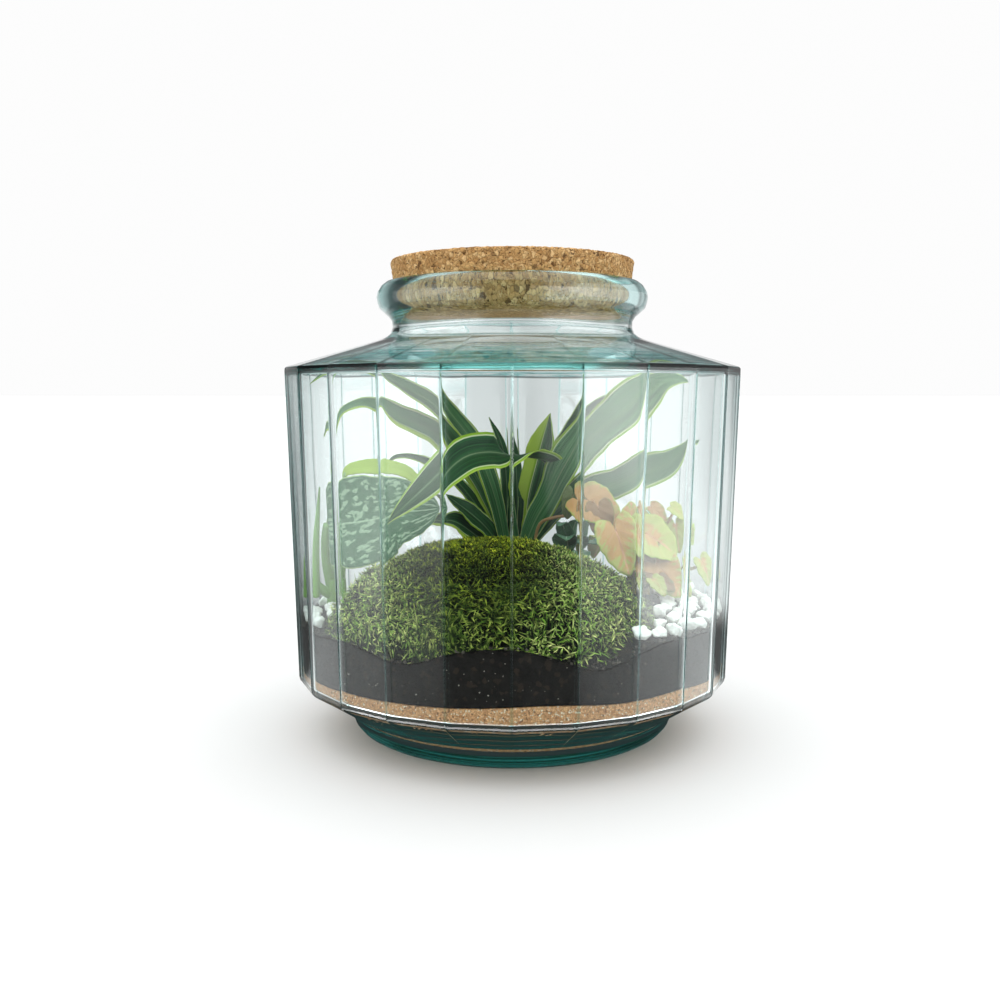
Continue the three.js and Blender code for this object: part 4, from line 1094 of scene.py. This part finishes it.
def outline_leaf(leaf, rings=16, around=88, arch=0.7, fold=0.2, thickness=0.75):
    """A leaf with an arrowhead's outline about the point where its stalk joins."""
    along, across, face = blade_frame(leaf)
    size = leaf["size"]
    joint = np.asarray(leaf["joint"], float)
    degrees = np.array([d for d, _ in ARROWHEAD], float)
    reaches = np.array([r for _, r in ARROWHEAD])
    turn = np.linspace(-degrees[-1], degrees[-1], around)
    smooth = np.interp(np.abs(turn), degrees, reaches)
    smooth = np.convolve(np.pad(smooth, 2, mode="edge"), np.array([1, 2, 3, 2, 1]) / 9, mode="valid")
    smooth = smooth * (1 + 0.018 * np.sin(turn * 0.33))
    share = np.linspace(0, 1, rings)
    u = smooth[:, None] * size * np.cos(np.radians(turn))[:, None] * share
    v = smooth[:, None] * size * np.sin(np.radians(turn))[:, None] * share
    bend = arch * u / size
    out, down = np.sin(bend) * size / arch, (1 - np.cos(bend)) * size / arch
    wavy = 0.02 * size * np.sin(7 * u / size + np.where(v > 0, 0, 2)) * np.minimum(1, 3 * share)
    ribs = 0.012 * size * np.abs(np.sin(12 * (u - 0.8 * np.abs(v)) / size)) * np.minimum(1, 3 * share)
    wavy = wavy + 0.03 * size * share ** 3 * np.sin(np.radians(turn) * 7 + leaf["tone"] * 5)[:, None] - ribs
    lift = fold * (np.sqrt(v ** 2 + 0.2) - 0.4) - down + wavy
    grid = joint + out[..., None] * along + v[..., None] * across + lift[..., None] * face
    normals = np.cos(bend)[..., None] * face + np.sin(bend)[..., None] * along
    normals = unit(normals - fold * np.sign(v)[..., None] * across)
    verts, quads = slab(grid[::-1], normals[::-1], thickness)
    uv = np.stack([u / size, v / size], -1)[::-1].reshape(-1, 2)
    rim = np.broadcast_to(share, u.shape).reshape(-1)
    tones = {"tone": leaf["tone"], "shade": leaf["shade"], "rim": np.concatenate([rim, rim])}
    return verts, quads, np.concatenate([uv, uv]), tones


def arrowhead_stalk(leaf):
    """A stalk that leaves the crown steeply and arrives under the leaf."""
    along, _, face = blade_frame(leaf)
    start = np.array([*ARROWHEAD_AT, 84.0])
    end = np.asarray(leaf["joint"], float)
    over = end - 0.35 * leaf["size"] * along - 0.1 * leaf["size"] * face
    over[2] = start[2] + 0.85 * (end[2] - start[2])
    return bow(start, over, end + 0.12 * leaf["size"] * along, 7)


def arrowhead_pieces():
    parts = [outline_leaf(leaf) for leaf in ARROWHEAD_LEAVES]
    add_leaves("arrowhead_leaves", parts, arrowhead_material(), "arrowhead_plant")
    tubes = [post(ARROWHEAD_AT, (60, 76, 90), [5, 4.6, 3], 14, 16)]
    tubes += [tube(arrowhead_stalk(leaf), [1.3, 0.9], 8, 22) for leaf in ARROWHEAD_LEAVES]
    tubes.append(tube(REACHING_STALK, [1.2, 1.0], 8, 40))
    stalk = stalk_material("arrowhead_stalk", (0.38, 0.30, 0.12), (0.40, 0.20, 0.09))
    add_stalks("arrowhead_stalks", tubes, stalk)


NETTED_AT = (38.0, 26.0)
# Azimuth, rise, length, width and the height of the base.
NETTED_LEAVES = [
    (-150, 8, 22, 17, 100),
    (-96, 12, 32, 22, 107),
    (-40, 10, 24, 18, 104),
    (60, 6, 22, 17, 98),
    (140, 6, 22, 17, 99),
    (-112, 18, 21, 15, 109),
    (-62, 20, 23, 18, 109),
]


def netted_pieces():
    parts = []
    x, y = NETTED_AT
    for azimuth, rise, length, width, base in NETTED_LEAVES:
        a = math.radians(azimuth)
        path = []
        for share in (0, 0.35, 0.7, 1):
            reach = share * length
            path.append((x + reach * math.cos(a), y + reach * math.sin(a), base + rise * math.sin(2 * share)))
        faces = [(-math.cos(a), -math.sin(a), 1), (0, -0.3, 1)]
        parts.append(blade({"path": path, "faces": faces, "width": width, "wave": 0.03}, ovate, 30, 17))
    add_leaves("netted_leaves", parts, netted_material(), "netted_plant")
    stalk = stalk_material("netted_stalk", (0.12, 0.14, 0.06), (0.10, 0.18, 0.07))
    add_stalks("netted_stem", [post(NETTED_AT, (66, 88, 112), [2.6, 2.4, 1.6], 12, 20)], stalk)


def stone_pieces():
    """Each CAD stone with its edges worn and its faces chipped."""
    material = stone_material()
    for k, name in enumerate(sorted(n for n in frame["nodes"] if n.startswith("stone_"))):
        shape = bmesh.new()
        shape.from_mesh(frame["nodes"][name].data)
        bmesh.ops.remove_doubles(shape, verts=shape.verts, dist=1e-5)
        bmesh.ops.dissolve_limit(shape, angle_limit=0.05, verts=shape.verts, edges=shape.edges)
        bmesh.ops.triangulate(shape, faces=shape.faces)
        for _ in range(3):
            bmesh.ops.subdivide_edges(shape, edges=shape.edges, cuts=1, use_grid_fill=True)
            bmesh.ops.smooth_vert(shape, verts=shape.verts, factor=0.32, use_axis_x=True, use_axis_y=True,
                                  use_axis_z=True)
        shape.normal_update()
        for v in shape.verts:
            place = v.co * 330 + Vector((3.1 * k, 0, 0))
            v.co += v.normal * (0.0009 * noise.noise(place) + 0.00035 * noise.noise(place * 3.1) + 0.0003)
        verts = np.array([v.co[:] for v in shape.verts]) / MM
        faces = [[v.index for v in f.verts] for f in shape.faces]
        shape.free()
        add_piece(name + "_worn", verts, faces, material, [name])


# The studio

# What the glass mirrors and bends, by degrees from the front: a dim front, then softboxes, then dark gaps.
# NEAR is on the table close to the jar, and FAR is past it.
NEAR = [(0, 0.02), (22, 0.10), (40, 0.80), (66, 1.4), (94, 1.6), (104, 1.3), (112, 0.12), (180, 0.12)]
FAR = [(0, 0.02), (22, 0.3), (34, 4.2), (50, 5.2), (70, 4.2), (88, 2.6), (108, 2.2), (118, 0.15), (180, 0.15)]
SIDE_SHARES = (0.65, 1.05)  # of the left and of the right
# The backdrop is a soft pool of light behind the jar.
BACKDROP = [(0, 0.5), (148, 0.34), (160, 0.72), (170, 0.84), (180, 0.78)]
BACKDROP_SHARES = (1.08, 0.94)
RAMP_TOP = 8.0  # a colour ramp stores levels over this
TABLE_REACH = 60
TABLE_TONE = 0.63
CAMERA_WHITE = 0.98  # the background that the camera sees
RING_INSIDE, RING_OUTSIDE, RING_LEVEL = (0.138, 0.142), (0.154, 0.158), 6.0
# The photograph's viewing angle.
CAMERA_SENSOR, CAMERA_LENS = 36.0, 38.52
CAMERA_AT = (0.0, -0.675, 0.2105)
CAMERA_TURN = (math.pi / 2 - 0.0999, 0.0, 0.0112)


def by_turn(s, turn, levels, x, shares):
    """A level read off a list of degrees from the front, with one share on the left and one on the right."""
    around = s.node("ValToRGB", {0: s.times(turn, 1 / math.pi)})
    elements = around.color_ramp.elements
    while len(elements) < len(levels):
        elements.new(0.5)
    for element, (degrees, level) in zip(elements, levels):
        element.position = degrees / 180
        element.color = (*grey(level / RAMP_TOP), 1)
    return s.times(s.times(around.outputs[0], RAMP_TOP), s.ramp(x, -0.02, 0.02, *shares))


def surround(s, place, away=None):
    """The studio's level in a direction, without its ceiling. away is how far off a place on the table is."""
    split = s.node("SeparateXYZ", {0: place})
    x, y = split.outputs["X"], split.outputs["Y"]
    turn = s.size(s.math("ARCTAN2", x, s.times(y, -1.0)))
    level = by_turn(s, turn, FAR, x, SIDE_SHARES)
    edge = s.times(s.sweep(turn, 15.2, 16.2), s.ramp(x, 0.0, 0.02))
    level = s.larger(level, edge)
    if away is not None:
        rise = s.sweep(turn, 45, 70, 1.9, 0.8)
        sooner = s.sweep(turn, 48, 62, 1.0, 0.62)
        rise = s.times(rise, s.ramp(x, -0.02, 0.02, 1.0, sooner))
        near = by_turn(s, turn, NEAR, x, SIDE_SHARES)
        level = s.blend(s.ramp(away, 0.34, rise), near, level)
    behind = s.sweep(turn, 141, 148)
    level = s.blend(behind, level, by_turn(s, turn, BACKDROP, x, BACKDROP_SHARES))
    return level, turn, split.outputs["Z"]


def bent_ray(s):
    """1 for a ray that the glass has bent or mirrored."""
    path = s.node("LightPath")
    return path, s.larger(path.outputs["Is Glossy Ray"], path.outputs["Is Transmission Ray"])


def world():
    """Soft even light on everything. The glass sees the softboxes and the camera sees white."""
    made = bpy.data.worlds.new("studio")
    bpy.context.scene.world = made
    made.use_nodes = True
    s = Shader(tree=made.node_tree)
    level, _, up = surround(s, s.node("TexCoord").outputs["Generated"])
    level = s.mix(s.ramp(up, 0.13, 0.20), level, s.mix(0.75, level, (0.05, 0.06, 0.06)))
    level = s.over(level, grey(1.6), up, 0.70, 0.82)
    soft = s.mix(s.ramp(up, 0.05, 0.85), grey(0.55), grey(2.3))
    path, bent = bent_ray(s)
    color = s.mix(bent, soft, level)
    color = s.mix(path.outputs["Is Camera Ray"], color, grey(CAMERA_WHITE))
    light = s.node("Background", {"Color": color, "Strength": 1.0})
    s.end(light)


def floor_material():
    """Pale and matt. To a ray bent by the glass it continues the studio down to the table. To a mirrored
    one it has a bright ring, seen as the thin white line along the panels' lower edge."""
    s = Shader("floor")
    place = s.node("NewGeometry").outputs["Position"]
    away = s.node("VectorMath", {0: place}, operation="LENGTH").outputs["Value"]
    level, turn, _ = surround(s, place, away)
    shade = s.sweep(turn, 106, 125, 0.17, 0.30)
    dim = s.mix(s.sweep(turn, 106, 125), (0.03, 0.04, 0.04), (0.26, 0.31, 0.31))
    level = s.mix(s.ramp(away, s.times(shade, 0.8), shade), dim, level)
    path, bent = bent_ray(s)
    ring = s.times(s.ramp(away, *RING_INSIDE), s.ramp(away, *RING_OUTSIDE, 1.0, 0.0))
    ring = s.times(ring, s.sweep(turn, 50, 62, 1.0, 0.0))
    level = s.mix(s.times(ring, path.outputs["Is Glossy Ray"]), level, grey(RING_LEVEL))
    matt = s.node("BsdfPrincipled", {"Base Color": grey(TABLE_TONE), "Roughness": 0.7})
    seen = s.node("Emission", {"Color": level, "Strength": 1.0})
    both = s.node("MixShader", {0: bent, 1: matt.outputs[0], 2: seen.outputs[0]})
    s.end(both)
    return s.material


def studio():
    world()
    mesh = bpy.data.meshes.new("floor")
    corners = [(TABLE_REACH * x, TABLE_REACH * y, 0) for x, y in ((-1, -1), (1, -1), (1, 1), (-1, 1))]
    mesh.from_pydata(corners, [], [(0, 1, 2, 3)])
    mesh.materials.append(floor_material())
    floor = bpy.data.objects.new("floor", mesh)
    bpy.context.scene.collection.objects.link(floor)


def camera():
    lens = bpy.data.cameras.new("camera")
    lens.sensor_width, lens.lens = CAMERA_SENSOR, CAMERA_LENS
    seen = bpy.data.objects.new("camera", lens)
    seen.location, seen.rotation_euler = CAMERA_AT, CAMERA_TURN
    bpy.context.scene.collection.objects.link(seen)
    bpy.context.scene.camera = seen


camera()
studio()
jar_piece()
cork_piece()
grit_piece()
soil_piece()
fleck_piece()
moss_core_piece()
leafy = moss_material()
moss_shoots("moss_shoots_top", leafy, seed=21, count=3300, low=0.0, high=0.84, length=(4.5, 7.5), width=0.8,
            droop=0.5)
moss_shoots("moss_shoots_fringe", leafy, seed=22, count=2200, low=0.76, high=1.0, length=(6.5, 12.5),
            width=1.1, droop=1.0)
dracaena_pieces()
spotted_pieces()
arrowhead_pieces()
netted_pieces()
stone_pieces()

scene = bpy.context.scene
scene.view_settings.view_transform = "Standard"
scene.view_settings.look = "None"
scene.cycles.use_denoising = True
scene.cycles.max_bounces = 24
scene.cycles.glossy_bounces = 16
scene.cycles.transmission_bounces = 24
scene.cycles.transparent_max_bounces = 16
